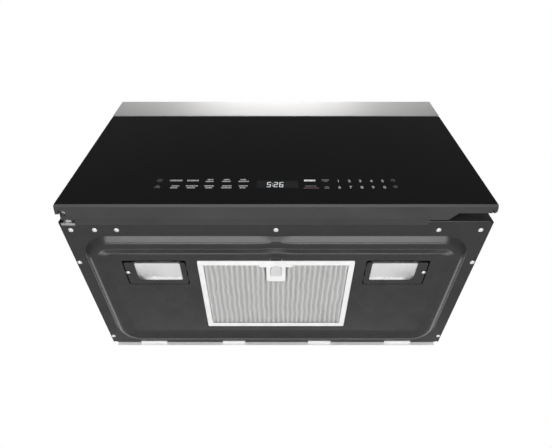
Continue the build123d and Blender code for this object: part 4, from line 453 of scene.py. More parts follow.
@dataclass(frozen=True)
class Stone(Finish):
    """Mica and granular pieces: a body colour, grains and a relief."""

    tone: Colour
    grain_tone: Colour
    grain: float
    relief: float
    roughness: Span
    stretch: Point = (1.0, 1.0, 1.0)

    def look(self, g: Graph) -> Look:
        """Grains with their own tone and height."""
        grains = g.cells(self.grain, stretch=self.stretch)
        patches = g.noise(self.grain / 6.0, stretch=self.stretch)
        g.bump(g.sum("SUBTRACT", 1.0, grains), self.relief, 0.8)
        tone = g.mix(g.range(grains, old=(0.1, 0.8)), self.tone, self.grain_tone)
        return {"Base Color": tone, "Roughness": g.range(patches, self.roughness)}


@dataclass(frozen=True)
class BoardLaminate(Finish):
    """Circuit board with copper runs under green lacquer."""

    tone: Colour = (0.02, 0.11, 0.05)
    run: Colour = (0.07, 0.27, 0.12)
    tin: Colour = (0.6, 0.6, 0.55)

    def look(self, g: Graph) -> Look:
        """Square cornered runs and tinned pads."""
        inputs = {"Vector": g.place(), "Scale": 210.0, "Randomness": 0.55}
        blocks = g.add("ShaderNodeTexVoronoi", inputs, feature="DISTANCE_TO_EDGE")
        runs = g.range(blocks.outputs["Distance"], (1.0, 0.0), (0.1, 0.14))
        pads = g.range(g.cells(380.0), (1.0, 0.0), (0.12, 0.16))
        tone = g.mix(g.sum("MULTIPLY", pads, 0.7), g.mix(runs, self.tone, self.run), self.tin)
        g.bump(g.sum("MAXIMUM", runs, pads), 0.05, 0.6)
        return {"Base Color": tone, "Roughness": g.range(pads, (0.4, 0.28), (0.0, 1.0)), "Coat Weight": 0.2}


@dataclass(frozen=True)
class Laminations(Finish):
    """Varnished steel sheets stacked along Y."""

    tone: Colour = (0.16, 0.16, 0.17)
    varnish: Colour = (0.1, 0.06, 0.03)
    pitch: float = 0.7

    def look(self, g: Graph) -> Look:
        """Thin stacked edges with drips of varnish."""
        inputs = {"Vector": g.place(), "Scale": 1000.0 / (self.pitch * 20.0)}
        waves = g.add("ShaderNodeTexWave", inputs, bands_direction="Y", wave_profile="SIN").outputs["Fac"]
        drips = g.noise(90.0)
        tone = g.mix(waves, self.tone, toned(self.tone, 1.7))
        tone = g.mix(g.range(drips, (0.0, 0.5), (0.5, 0.8)), tone, self.varnish)
        g.bump(waves, 0.1, 0.6)
        return {"Base Color": tone, "Metallic": 0.6, "Roughness": g.range(drips, (0.35, 0.6))}


@dataclass(frozen=True)
class Legend(Finish):
    """Print or segments that may emit light: on print the emission is painted light, on the clock segments it
    is the display's own light.
    """

    tone: Colour
    painted_and_display_glow: float = 0.0

    def look(self, g: Graph) -> Look:
        """Even tone with the slight grain of screen print."""
        tone = g.mix(g.range(g.noise(2500.0, 2.0), old=(0.35, 0.65)), toned(self.tone, 0.85), self.tone)
        # emission: painted light on the print, the display's own light on the clock segments
        lit = {"Emission Color": (*self.tone, 1.0), "Emission Strength": self.painted_and_display_glow} if self.painted_and_display_glow else {}
        return {"Base Color": tone, "Roughness": 0.5, "Specular IOR Level": 0.3, **lit}


@dataclass(frozen=True)
class PaleFloor(Finish):
    """Plain pale floor of the studio."""

    tone: float = 0.8

    def look(self, g: Graph) -> Look:
        """Matt, very slightly mottled."""
        tone = g.mix(g.noise(3.0), grey(self.tone), grey(self.tone * 0.97))
        return {"Base Color": tone, "Roughness": 0.75, "Specular IOR Level": 0.2}


class Finishes:
    """Every finish of the object, by what it is on."""

    strip = BrushedSteel("brushed_stainless")
    case = TexturedPaint("case_paint_satin", (0.03, 0.03, 0.032), (0.36, 0.46))
    pan = TexturedPaint("pan_charcoal_paint", (0.02, 0.0202, 0.0205), (0.2, 0.26), 1300.0, 0.012)
    dark_panel = TexturedPaint("door_panel_paint", (0.014, 0.014, 0.015), (0.42, 0.5))
    screen = TexturedPaint("door_screen_paint", (0.11, 0.11, 0.11), (0.45, 0.55), 1500.0, 0.01)
    galvanised = Galvanised("galvanised_sheet")
    wall_plate = Galvanised("wall_plate_zinc", (0.9, 0.9, 0.9), 90.0, (0.45, 0.6), 0.05, 0.1)
    enamel = Enamel("oven_enamel_grey")
    moulding = Moulding("black_moulding")
    door_trim = Moulding("door_trim_charcoal", (0.03, 0.0303, 0.0306), (0.38, 0.46), 1500.0, 0.012)
    latch_pad = Moulding("filter_latch_white", (0.58, 0.58, 0.58), (0.4, 0.5), 1900.0, 0.01)
    white = Moulding("white_moulding", (0.74, 0.74, 0.72), (0.3, 0.4), 1500.0, 0.01)
    rubber = Moulding("inlet_rubber_black", (0.018, 0.018, 0.018), (0.6, 0.7), 900.0, 0.03, 0.35)
    display = Moulding("display_filter", (0.01, 0.011, 0.012), (0.15, 0.2), 900.0, 0.0, 0.4)
    glass = PrintedGlass("door_glass_black")
    clear = ClearGlass("tray_glass", (0.86, 0.93, 0.92))
    window = ClearGlass("door_window_glass", (0.55, 0.57, 0.57))
    bulb = ClearGlass("cavity_lamp_glass", (0.95, 0.9, 0.8), (0.2, 0.3), 0.8)
    lens = LampLens("lamp_lens_frosted")
    filter_sheet = SatinAluminium("filter_rim_aluminium", (0.94, 0.94, 0.94), (0.45, 0.55), 0.12)
    can = SatinAluminium("drawn_can_aluminium", (0.62, 0.63, 0.64), (0.25, 0.35), 1.0)
    # mesh layers: painted shade in the bottoms of their folds
    filter_wire = PleatedMesh("filter_mesh_aluminium")
    filter_core = PleatedMesh("filter_core_aluminium", (0.78, 0.78, 0.775), 0.62, (-4.9, -1.3))
    plate = BrightPlate("bright_zinc_plate", (0.93, 0.93, 0.92), 0.45)
    pin = BrightPlate("hinge_pin_plate", (0.9, 0.9, 0.88), 0.6)
    mica = Stone("mica_sheet", (0.5, 0.42, 0.3), (0.38, 0.3, 0.2), 260.0, 0.03, (0.35, 0.55), (1.0, 0.5, 0.5))
    charcoal = Stone("charcoal_granules", (0.012, 0.012, 0.012), (0.05, 0.05, 0.05), 420.0, 0.8, (0.6, 0.85))
    board = BoardLaminate("circuit_board_green")
    core = Laminations("transformer_core")
    legend_dim = Legend("legend_print_dim", (0.17, 0.172, 0.175))
    # emission on these three prints is painted light; the clock segments below are a lit display
    legend = Legend("legend_print", (0.42, 0.425, 0.43), 0.12)
    legend_bold = Legend("legend_print_bold", (0.75, 0.77, 0.78), 0.35)
    legend_red = Legend("legend_print_red", (0.16, 0.07, 0.075), 0.1)
    segments = Legend("clock_segments", (0.62, 0.64, 0.66), 0.25)
    floor = PaleFloor("studio_floor")


# ---------------------------------------------------------------- flat lines
def span(side: int, near: float, far: float) -> Span:
    """X range at one side, minus one or one, between two distances from the middle."""
    low, high = sorted((side * near, side * far))
    return (low, high)


def flattened(row: Sequence[Point]) -> list[Flat]:
    """The points of a row seen from above."""
    return [spot[:2] for spot in row]


def inside(spot: Vector, loop: Sequence[Flat]) -> bool:
    """Whether a flat point lies inside a closed line."""
    crossed = False
    for (x0, y0), (x1, y1) in zip(loop, [*loop[1:], loop[0]]):
        if (y0 > spot[1]) != (y1 > spot[1]) and spot[0] < (x1 - x0) * (spot[1] - y0) / (y1 - y0) + x0:
            crossed = not crossed
    return crossed


def arc(middle: Flat, radius: float, start: float, turn: float, steps: int) -> list[Flat]:
    """Points of an arc.

    Args:
        middle: its centre.
        radius: its radius.
        start: its first angle, in radians.
        turn: how far it turns, in radians.
        steps: spans between its points.

    Returns:
        Flat points, one more than the steps.
    """
    angles = [start + turn * step / steps for step in range(steps + 1)]
    return [(middle[0] + radius * math.cos(angle), middle[1] + radius * math.sin(angle)) for angle in angles]


def rectangle(x: Span, depth: Span, radius: float = 0.0, steps: int = 8) -> list[Flat]:
    """Closed outline of a rectangle with rounded corners.

    Args:
        x: left and right.
        depth: front and rear.
        radius: of the corners, or zero.
        steps: spans on a quarter turn.

    Returns:
        Flat points, counter-clockwise seen from above.
    """
    points = []
    for turn, (right, rear) in enumerate(((1, 0), (1, 1), (0, 1), (0, 0))):
        corner = (x[right], depth[rear])
        if radius <= 0:
            points.append(corner)
            continue
        middle = (corner[0] - radius * (2 * right - 1), corner[1] - radius * (2 * rear - 1))
        points += arc(middle, radius, math.radians(90.0 * (turn - 1)), math.radians(90.0), steps)
    return points if radius > 0 else points[-1:] + points[:-1]


def rounded(points: Sequence[Flat], radii: Sequence[float], steps: int = 5) -> list[Flat]:
    """Open line with its inner corners rounded.

    Args:
        points: corners of the line.
        radii: one radius for each inner corner.
        steps: spans on each arc.

    Returns:
        The line's points, arcs included.
    """
    line = [tuple(points[0])]
    for before, corner, after, radius in zip(points, points[1:], points[2:], radii):
        back, ahead = ((Vector(end) - Vector(corner)).normalized() for end in (before, after))
        half = back.angle(ahead) / 2
        reach = radius / math.tan(half)
        start, end = Vector(corner) + back * reach, Vector(corner) + ahead * reach
        middle = Vector(corner) + (back + ahead).normalized() * (radius / math.sin(half))
        first, last = (math.atan2(spot[1] - middle[1], spot[0] - middle[0]) for spot in (start, end))
        turn = (last - first + math.pi) % (2 * math.pi) - math.pi
        line += arc(middle, radius, first, turn, steps)
    return [*line, tuple(points[-1])]


# ---------------------------------------------------------------- mesh forms
class Form:
    """A mesh in the making, from points in millimetres."""

    def __init__(self) -> None:
        """Starts an empty form."""
        self.mesh = bmesh.new()

    def face(self, points: Sequence[Point]) -> None:
        """Adds one face through the points, in order."""
        self.mesh.faces.new([self.mesh.verts.new(placed(point)) for point in points])

    def rows(self, rows: Sequence[Sequence[Point]], closed: bool = True) -> None:
        """Joins rows of points with quads.

        Args:
            rows: rows of equal length.
            closed: whether each row's last point joins its first.
        """
        grid = [[self.mesh.verts.new(placed(point)) for point in row] for row in rows]
        count = len(grid[0])
        for near, far in zip(grid, grid[1:]):
            for index in range(count if closed else count - 1):
                after = (index + 1) % count
                self.mesh.faces.new((near[index], near[after], far[after], far[index]))

    def prism(self, rows: Sequence[Sequence[Point]]) -> None:
        """Joins rows of points and closes both ends with a face."""
        self.rows(rows)
        self.face(rows[0])
        self.face(rows[-1])

    def block(self, x: Span, depth: Span, z: Span) -> None:
        """Adds a closed block between its lowest and highest values on each axis."""
        self.prism([[(*spot, height) for spot in rectangle(x, depth)] for height in z])

    def plate(self, loops: Sequence[Sequence[Flat]], place: Callable[[Flat], Point]) -> None:
        """Fills a flat area between an outline and its holes.

        Args:
            loops: the outline and then the holes, as flat points.
            place: gives the point for a flat point.
        """
        corners = [Vector(corner) for loop in loops for corner in loop]
        edges, start = [], 0
        for loop in loops:
            edges += [(start + index, start + (index + 1) % len(loop)) for index in range(len(loop))]
            start += len(loop)
        filled = geometry.delaunay_2d_cdt(corners, edges, [], 1, 1e-5)
        spots = [self.mesh.verts.new(placed(place((corner[0], corner[1])))) for corner in filled[0]]
        for triangle in filled[2]:
            middle = sum((filled[0][index] for index in triangle), Vector((0.0, 0.0))) / 3
            if inside(middle, loops[0]) and not any(inside(middle, hole) for hole in loops[1:]):
                self.mesh.faces.new([spots[index] for index in triangle])
        loose = [spot for spot in spots if not spot.link_faces]
        bmesh.ops.delete(self.mesh, geom=loose, context="VERTS")

    def solid(self, rows: Sequence[Sequence[Point]], axis: int = 2) -> None:
        """Joins rows of points and fills both ends.

        Args:
            rows: rows of equal length.
            axis: axis on which all points of an end row are level.
        """
        self.rows(rows)
        for row in (rows[0], rows[-1]):
            level = row[0][axis]
            flat = [(*spot[:axis], *spot[axis + 1:]) for spot in row]
            self.plate([flat], lambda spot, level=level: (*spot[:axis], level, *spot[axis:]))

    def lathe(self, outline: Sequence[Flat], centre: Flat, steps: int) -> None:
        """Turns a closed outline about an upright axis.

        Args:
            outline: (radius, z) points in order.
            centre: x and depth of the axis.
            steps: sides of the turned form.
        """
        turned = [arc(centre, radius, 0.0, 2 * math.pi, steps) for radius, _ in outline]
        self.rows([[(*line[step], z) for line, (_, z) in zip(turned, outline)] for step in range(steps + 1)])

    def finish(
        self, name: str, finish: Finish, body: Body, slot: str, node: str = "", **options: object
    ) -> Piece:
        """Closes the form and makes it a piece.

        Args:
            name: the piece's name.
            finish: what it is dressed in.
            body: the body that carries it.
            slot: its slot.
            node: the frame's node that it stands for, or none.
            **options: see complete.

        Returns:
            The piece.
        """
        bmesh.ops.remove_doubles(self.mesh, verts=self.mesh.verts, dist=JOIN_WITHIN)
        bmesh.ops.dissolve_degenerate(self.mesh, edges=self.mesh.edges, dist=SLIVER)
        bmesh.ops.recalc_face_normals(self.mesh, faces=self.mesh.faces)
        data = bpy.data.meshes.new(name)
        self.mesh.to_mesh(data)
        self.mesh.free()
        data.materials.append(finish.material())
        return complete(linked(name, data), body, slot, node, **options)


def linked(name: str, data: bpy.types.ID) -> Piece:
    """New object of some data, put in the scene."""
    made = bpy.data.objects.new(name, data)
    bpy.context.scene.collection.objects.link(made)
    return made


def bake(made: Piece) -> Piece:
    """Turns an object and its modifiers into a plain mesh under the same name.

    Args:
        made: the object, which is removed.

    Returns:
        The plain object.
    """
    bpy.context.view_layer.update()
    graph = bpy.context.evaluated_depsgraph_get()
    whole = made.evaluated_get(graph)
    data = bpy.data.meshes.new_from_object(whole, preserve_all_data_layers=True, depsgraph=graph)
    name, spot = made.name, made.matrix_world.copy()
    bpy.data.objects.remove(made)
    data.transform(spot)
    data.name = name
    return linked(name, data)


def tie(made: Piece, body: Body, node: str = "") -> Piece:
    """Puts a plain piece on its body and hides the frame's node that it stands for, if one is given."""
    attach(made, body.value)
    if node:
        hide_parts(node)
    return made


def complete(
    made: Piece,
    body: Body,
    slot: str,
    node: str = "",
    bevel: float = 0.0,
    segments: int = 2,
    wall: float = 0.0,
    outward: Point | None = None,
    smooth: float = 35.0,
) -> Piece:
    """Gives a raw mesh its wall and edges, bakes it and puts it on its body.

    Args:
        made: the raw object, in place.
        body: the body that carries it.
        slot: its slot; not used.
        node: the frame's node that it stands for, or none.
        bevel: width of its rounded edges in millimetres, or zero.
        segments: faces across a rounded edge.
        wall: thickness in millimetres that an open sheet gets against its normals, or zero.
        outward: rough direction that an open sheet's faces look in.
        smooth: angle in degrees under which edges are shaded smooth.

    Returns:
        The baked piece.
    """
    if outward is not None:
        lean = sum((face.normal * face.area).dot(Vector(outward)) for face in made.data.polygons)
        if lean < 0:
            made.data.flip_normals()
    if wall:
        solid = made.modifiers.new("wall", "SOLIDIFY")
        solid.thickness = wall * MILLIMETRE
        solid.offset = -1.0
        solid.use_even_offset = True
    if bevel:
        edge = made.modifiers.new("edge", "BEVEL")
        edge.width = bevel * MILLIMETRE
        edge.segments = segments
        edge.limit_method = "ANGLE"
        edge.angle_limit = math.radians(EDGE_ANGLE)
        edge.harden_normals = False
    baked = bake(made)
    baked.data.shade_smooth()
    baked.data.set_sharp_from_angle(angle=math.radians(smooth))
    baked.modifiers.new("weigh", "WEIGHTED_NORMAL").keep_sharp = True
    return tie(bake(baked), body, node)


class Growth(Nodes):
    """A geometry node tree with named inputs, run once on a mesh of points."""

    def __init__(self, name: str) -> None:
        """Starts the tree."""
        super().__init__(bpy.data.node_groups.new(name, "GeometryNodeTree"))
        for way in ("INPUT", "OUTPUT"):
            self.tree.interface.new_socket("Geometry", in_out=way, socket_type="NodeSocketGeometry")
        self.entry = self.tree.nodes.new("NodeGroupInput")
        self.values: dict[str, object] = {}

    def value(self, name: str, value: float | int) -> Socket:
        """Adds a named input with its value, and gives the output that it has inside the tree."""
        kind = "NodeSocketInt" if isinstance(value, int) else "NodeSocketFloat"
        socket = self.tree.interface.new_socket(name, in_out="INPUT", socket_type=kind)
        self.values[socket.identifier] = value
        return self.entry.outputs[name]

    def vector(self, x: object = 0.0, y: object = 0.0, z: object = 0.0) -> Socket:
        """A vector from three numbers."""
        return self.get("ShaderNodeCombineXYZ", {0: x, 1: y, 2: z})

    def axes(self) -> Sequence[Socket]:
        """X, Y and Z of each point, in metres."""
        return self.add("ShaderNodeSeparateXYZ", {0: self.get("GeometryNodeInputPosition")}).outputs

    def joined(self, *shapes: Socket) -> Socket:
        """Several shapes as one."""
        join = self.add("GeometryNodeJoinGeometry")
        for shape in shapes:
            self.tree.links.new(shape, join.inputs[0])
        return join.outputs[0]

    def moved(self, shape: Socket, offset: object) -> Socket:
        """A shape moved as a whole."""
        return self.get("GeometryNodeTransform", {"Geometry": shape, "Translation": offset})

    def real(self, shape: Socket) -> Socket:
        """A shape with its instances made real."""
        return self.get("GeometryNodeRealizeInstances", {0: shape})

    def grow(
        self, name: str, shape: Socket, finish: Finish, points: Sequence[Point], facing: Sequence[Facing] = ()
    ) -> Piece:
        """Ends the tree, runs it on a mesh of points and keeps the result as a plain mesh.

        Args:
            name: the result's name.
            shape: the geometry that the tree makes.
            finish: what it is dressed in.
            points: places in millimetres.
            facing: the way that each point faces, or none.

        Returns:
            The plain object, not yet on a body.
        """
        dressed = self.add("GeometryNodeSetMaterial", {"Geometry": self.real(shape)})
        dressed.inputs["Material"].default_value = finish.material()
        end = self.tree.nodes.new("NodeGroupOutput")
        self.tree.links.new(dressed.outputs[0], end.inputs[0])
        seed = bpy.data.meshes.new(name)
        seed.from_pydata([placed(point) for point in points], [], [])
        if facing:
            layer = seed.attributes.new("facing", "FLOAT_VECTOR", "POINT")
            ways = np.array([way.value for way in facing], dtype=np.float32)
            layer.data.foreach_set("vector", ways.ravel())
        made = linked(name, seed)
        modifier = made.modifiers.new("growth", "NODES")
        modifier.node_group = self.tree
        for identifier, value in self.values.items():
            modifier[identifier] = value
        grown = bake(made)
        grown.data.materials.clear()
        grown.data.materials.append(finish.material())
        grown.data.polygons.foreach_set("material_index", [0] * len(grown.data.polygons))
        return grown


# ---------------------------------------------------------------- base pan
@dataclass
class BasePan:
    """Pressed pan under the case: rim, bead, sunk panel, openings and front flange."""

    half_width: float = 378.4
    front: float = 31.0
    rear: float = 403.4
    sheet: float = 1.0
    rear_corner: float = 14.0
    front_corner: float = 5.0
    bend: float = 2.0
    flange: float = 12.0
    notch: Flat = (-351.4, 42.0)
    flange_x: Span = (-345.4, 373.4)
    crest_side: float = 338.0
    crest_depth: Span = (82.5, 373.0)
    crest_corner: float = 36.0
    lip_top: float = 5.0
    filter_x: float = 150.0
    filter_depth: Span = (123.0, 330.7)
    latch_notch: Flat = (11.5, 119.0)
    tongue_x: Span = (79.0, 101.0)
    tongue_z: Span = (-4.3, 2.0)
    lamp_x: Span = (170.2, 290.6)
    lamp_depth: Span = (122.8, 190.2)
    lamp_corner: float = 4.0
    saddle_half: float = 34.0
    saddle_rise: float = 2.2
    saddle_shift: float = 1.6
    saddle_ease: float = 0.35
    saddle_below: float = -1.0
    saddle_band: Span = (8.0, 18.0)
    saddle_steps: tuple[int, int] = (15, 12)
    corner_steps: int = 18
    section: tuple[Flat, ...] = (
        (22.0, 0.0), (17.5, 0.0), (4.5, -12.0), (-4.5, -12.0), (-22.5, -6.0), (-29.0, -6.0)
    )
    radii: tuple[float, ...] = (3.5, 17.0, 9.0, 30.0)

    def ring(self, out: float, height: float) -> list[Point]:
        """One line of the bead, pinched at the middle of its front.

        Args:
            out: distance outside the crest line.
            height: height of its underside.

        Returns:
            Points of the closed line.
        """
        front, side = self.crest_depth[0] - out, self.crest_side + out
        depth, corner = (front, self.crest_depth[1] + out), self.crest_corner + out
        points = [(*spot, height) for spot in rectangle((-side, side), depth, corner, self.corner_steps)]
        share = 0.0
        if height < self.saddle_below:
            share = max(0.0, min(1.0, (height - PANEL) / PANEL + self.saddle_ease))
        shift = self.saddle_shift if self.saddle_band[0] < out < self.saddle_band[1] else 0.0
        reach, half = self.saddle_steps
        for step in range(-reach, reach + 1):
            away = step / half
            pinch = 0.5 * (1.0 + math.cos(math.pi * min(1.0, abs(away))))
            risen = height + self.saddle_rise * pinch * share
            points.append((away * self.saddle_half, front + shift * pinch, risen))
        return points

    def rim_outline(self) -> list[Flat]:
        """Outer edge of the rim, with the notch at the hinge."""
        half, line, corner = self.half_width, self.front + self.bend, self.rear_corner
        outline = [(self.notch[0], self.front), (self.flange_x[0], self.front)]
        outline += [(self.flange_x[0], line), (self.flange_x[1], line)]
        outline += [(half - self.front_corner + self.bend, line), (half, self.front + self.front_corner)]
        for side, start in ((1, 0.0), (-1, 90.0)):
            middle = (side * (half - corner), self.rear - corner)
            outline += arc(middle, corner, math.radians(start), math.radians(90.0), 8)
        return outline + [(-half, self.notch[1]), self.notch]

    def filter_outline(self) -> list[Flat]:
        """Edge of the filter opening, with the notch for the latch and its rear side last."""
        x, (front, rear) = self.filter_x, self.filter_depth
        reach, depth = self.latch_notch
        corners = [(-x, front), (-reach, front), (-reach, depth), (reach, depth), (reach, front), (x, front)]
        return corners + [(x, rear), (-x, rear)]

    def filter_lip(self, form: Form, opening: Sequence[Flat]) -> None:
        """Adds the lip that stands up round the filter opening, slotted for the tongues."""
        x, z = self.filter_x, (PANEL, self.lip_top)
        walk = [opening[-1], *opening[:-1]]
        form.rows([[(*spot, height) for spot in walk] for height in z], closed=False)
        slots = [rectangle(span(side, *self.tongue_x), self.tongue_z) for side in (-1, 1)]
        form.plate([rectangle((-x, x), z), *slots], lambda flat: (flat[0], self.filter_depth[1], flat[1]))

    def build(self) -> list[Piece]:
        """Builds the pan's sheet on the cabinet."""
        form = Form()
        rings = [self.ring(out, height) for out, height in rounded(self.section, self.radii, 6)]
        form.rows(rings)
        form.plate([self.rim_outline(), flattened(rings[0])], lambda flat: (*flat, 0.0))
        sides = [span(side, *self.lamp_x) for side in (-1, 1)]
        lamps = [rectangle(x, self.lamp_depth, self.lamp_corner, 6) for x in sides]
        opening = self.filter_outline()
        form.plate([flattened(rings[-1]), opening, *lamps], lambda flat: (*flat, PANEL))
        self.filter_lip(form, opening)
        quarter = math.radians(-90.0)
        edge = arc((self.front + self.bend, self.bend), self.bend, quarter, quarter, 6)
        edge.append((self.front, self.flange))
        form.rows([[(x, depth, z) for x in self.flange_x] for depth, z in edge], closed=False)
        dress = (Finishes.pan, Body.CABINET, "charcoal_enamel", "base_pan")
        return [form.finish("base_pan_sheet", *dress, outward=(0, 0, -1), wall=self.sheet, smooth=38.0)]


# ---------------------------------------------------------------- screws
@dataclass
class Fasteners:
    """Pan head screws with a cross recess: pan, grille, rear panel and lamp covers."""

    head_radius: float = 4.3
    head_height: float = 2.2
    lamp_head_radius: float = 3.6
    recess_width: float = 0.9
    # black ring under each lamp screw: painted shadow of the dimple round the screw
    shadow_ring_width: float = 2.4
    shadow_ring_lap: float = 0.4
    shadow_ring_z: Span = (PANEL - 0.35, PANEL + 0.1)
    pan_row: float = 51.0
    front_x: tuple[float, ...] = (-362.9, -320.9, -282.1, 0.0, 288.1, 362.4)
    side_x: float = 373.5
    side_depths: tuple[float, ...] = (133.5, 378.0)
    grille_x: tuple[float, ...] = (-250.0, 0.0, 250.0)
    grille_depth: float = 89.0
    rear_depth: float = 400.0
    rear_places: tuple[Flat, ...] = ((340.0, 60.0), (340.0, 360.0), (150.0, 400.0))
    lamp_spot: Flat = (284.5, 155.0)
    sides: int = 32
    rings: int = 16
    seed: int = 7
    tool_shares: Point = (0.9, 1.05, 4.0)
    recess_rise: float = 1.35
    base_cut: float = -0.95
    foot_height: float = 0.6
    foot_rise: float = 0.32

    def heads(self, name: str, radius: float, points: Sequence[Point], facing: Sequence[Facing]) -> Piece:
        """Grows a turned head, twisted at random, on each point.

        Args:
            name: the piece's name.
            radius: radius of the heads.
            points: where they sit.
            facing: the way that each faces.

        Returns:
            The heads as one raw object.
        """
        g = Growth(f"{name}_growth")
        reach = g.value("Head radius", radius * MILLIMETRE)
        height = g.value("Head height", self.head_height * MILLIMETRE)
        recess = g.value("Recess width", self.recess_width * MILLIMETRE)
        sides, seed = g.value("Sides", self.sides), g.value("Seed", self.seed)
        narrow, arm, wide = (g.sum("MULTIPLY", reach, share) for share in self.tool_shares)
        tall = g.sum("MULTIPLY", height, 2.0)
        ball = g.get("GeometryNodeMeshUVSphere", {"Segments": sides, "Rings": self.rings, "Radius": 1.0})
        dome = g.get("GeometryNodeTransform", {"Geometry": ball, "Scale": g.vector(narrow, narrow, height)})
        tools, rise = [], self.recess_rise
        for x, y, rise in ((arm, recess, rise), (recess, arm, rise), (wide, wide, self.base_cut)):
            cube = g.get("GeometryNodeMeshCube", {"Size": g.vector(x, y, tall)})
            tools.append(g.moved(cube, g.vector(z=g.sum("MULTIPLY", height, rise))))
        inputs = {0: dome, 1: g.joined(*tools), 2: True}
        cut = g.get("GeometryNodeMeshBoolean", inputs, operation="DIFFERENCE", solver="EXACT")
        inputs = {"Vertices": sides, "Radius": reach, "Depth": self.foot_height * MILLIMETRE}
        foot = g.get("GeometryNodeMeshCylinder", inputs)
        head = g.joined(cut, g.moved(foot, (0.0, 0.0, self.foot_rise * MILLIMETRE)))
        way = g.get("GeometryNodeInputNamedAttribute", {"Name": "facing"}, data_type="FLOAT_VECTOR")
        lean = g.get("FunctionNodeAlignEulerToVector", {"Vector": way}, axis="Z")
        spread = g.add("FunctionNodeRandomValue", {"Seed": seed, 3: math.pi}, data_type="FLOAT").outputs[1]
        inputs = {"Points": g.entry.outputs[0], "Instance": head, "Rotation": lean}
        laid = g.get("GeometryNodeInstanceOnPoints", inputs)
        twist = g.get("GeometryNodeRotateInstances", {"Instances": laid, "Rotation": g.vector(z=spread)})
        return g.grow(name, twist, Finishes.plate, points, facing)

    def build(self) -> list[Piece]:
        """Builds the screws of the case, and on each lamp cover a screw with a black ring under it, a painted
        shadow round the screw.
        """
        pan = [(x, self.pan_row, 0.0) for x in self.front_x]
        pan += [(side * self.side_x, depth, 0.0) for side in (-1, 1) for depth in self.side_depths]
        top = [(x, self.grille_depth, FACE_TOP) for x in self.grille_x]
        rear = [(side * x, self.rear_depth, z) for side in (-1, 1) for x, z in self.rear_places]
        facing = [Facing.DOWN] * len(pan) + [Facing.UP] * len(top) + [Facing.WALL] * len(rear)
        grown = self.heads("case_screw_heads", self.head_radius, pan + top + rear, facing)
        made = [complete(grown, Body.CABINET, "zinc_plate", "case_screws", smooth=40.0)]
        for side, word, body in LAMP_SIDES:
            spot = (side * self.lamp_spot[0], self.lamp_spot[1])
            name, points = f"lamp_screw_head_{word}", [(*spot, PANEL)]
            grown = self.heads(name, self.lamp_head_radius, points, [Facing.DOWN])
            made.append(complete(grown, body, "zinc_plate", f"lamp_screw_{word}", smooth=40.0))
            # black ring round the screw head: a painted shadow
            form = Form()
            reach = (self.lamp_head_radius - self.shadow_ring_lap, self.lamp_head_radius + self.shadow_ring_width)
            form.lathe([(radius, z) for radius, z in rectangle(reach, self.shadow_ring_z)], spot, 32)
            made.append(form.finish(f"lamp_screw_shadow_ring_{word}", Finishes.moulding, body, "black_plastic"))
        return made


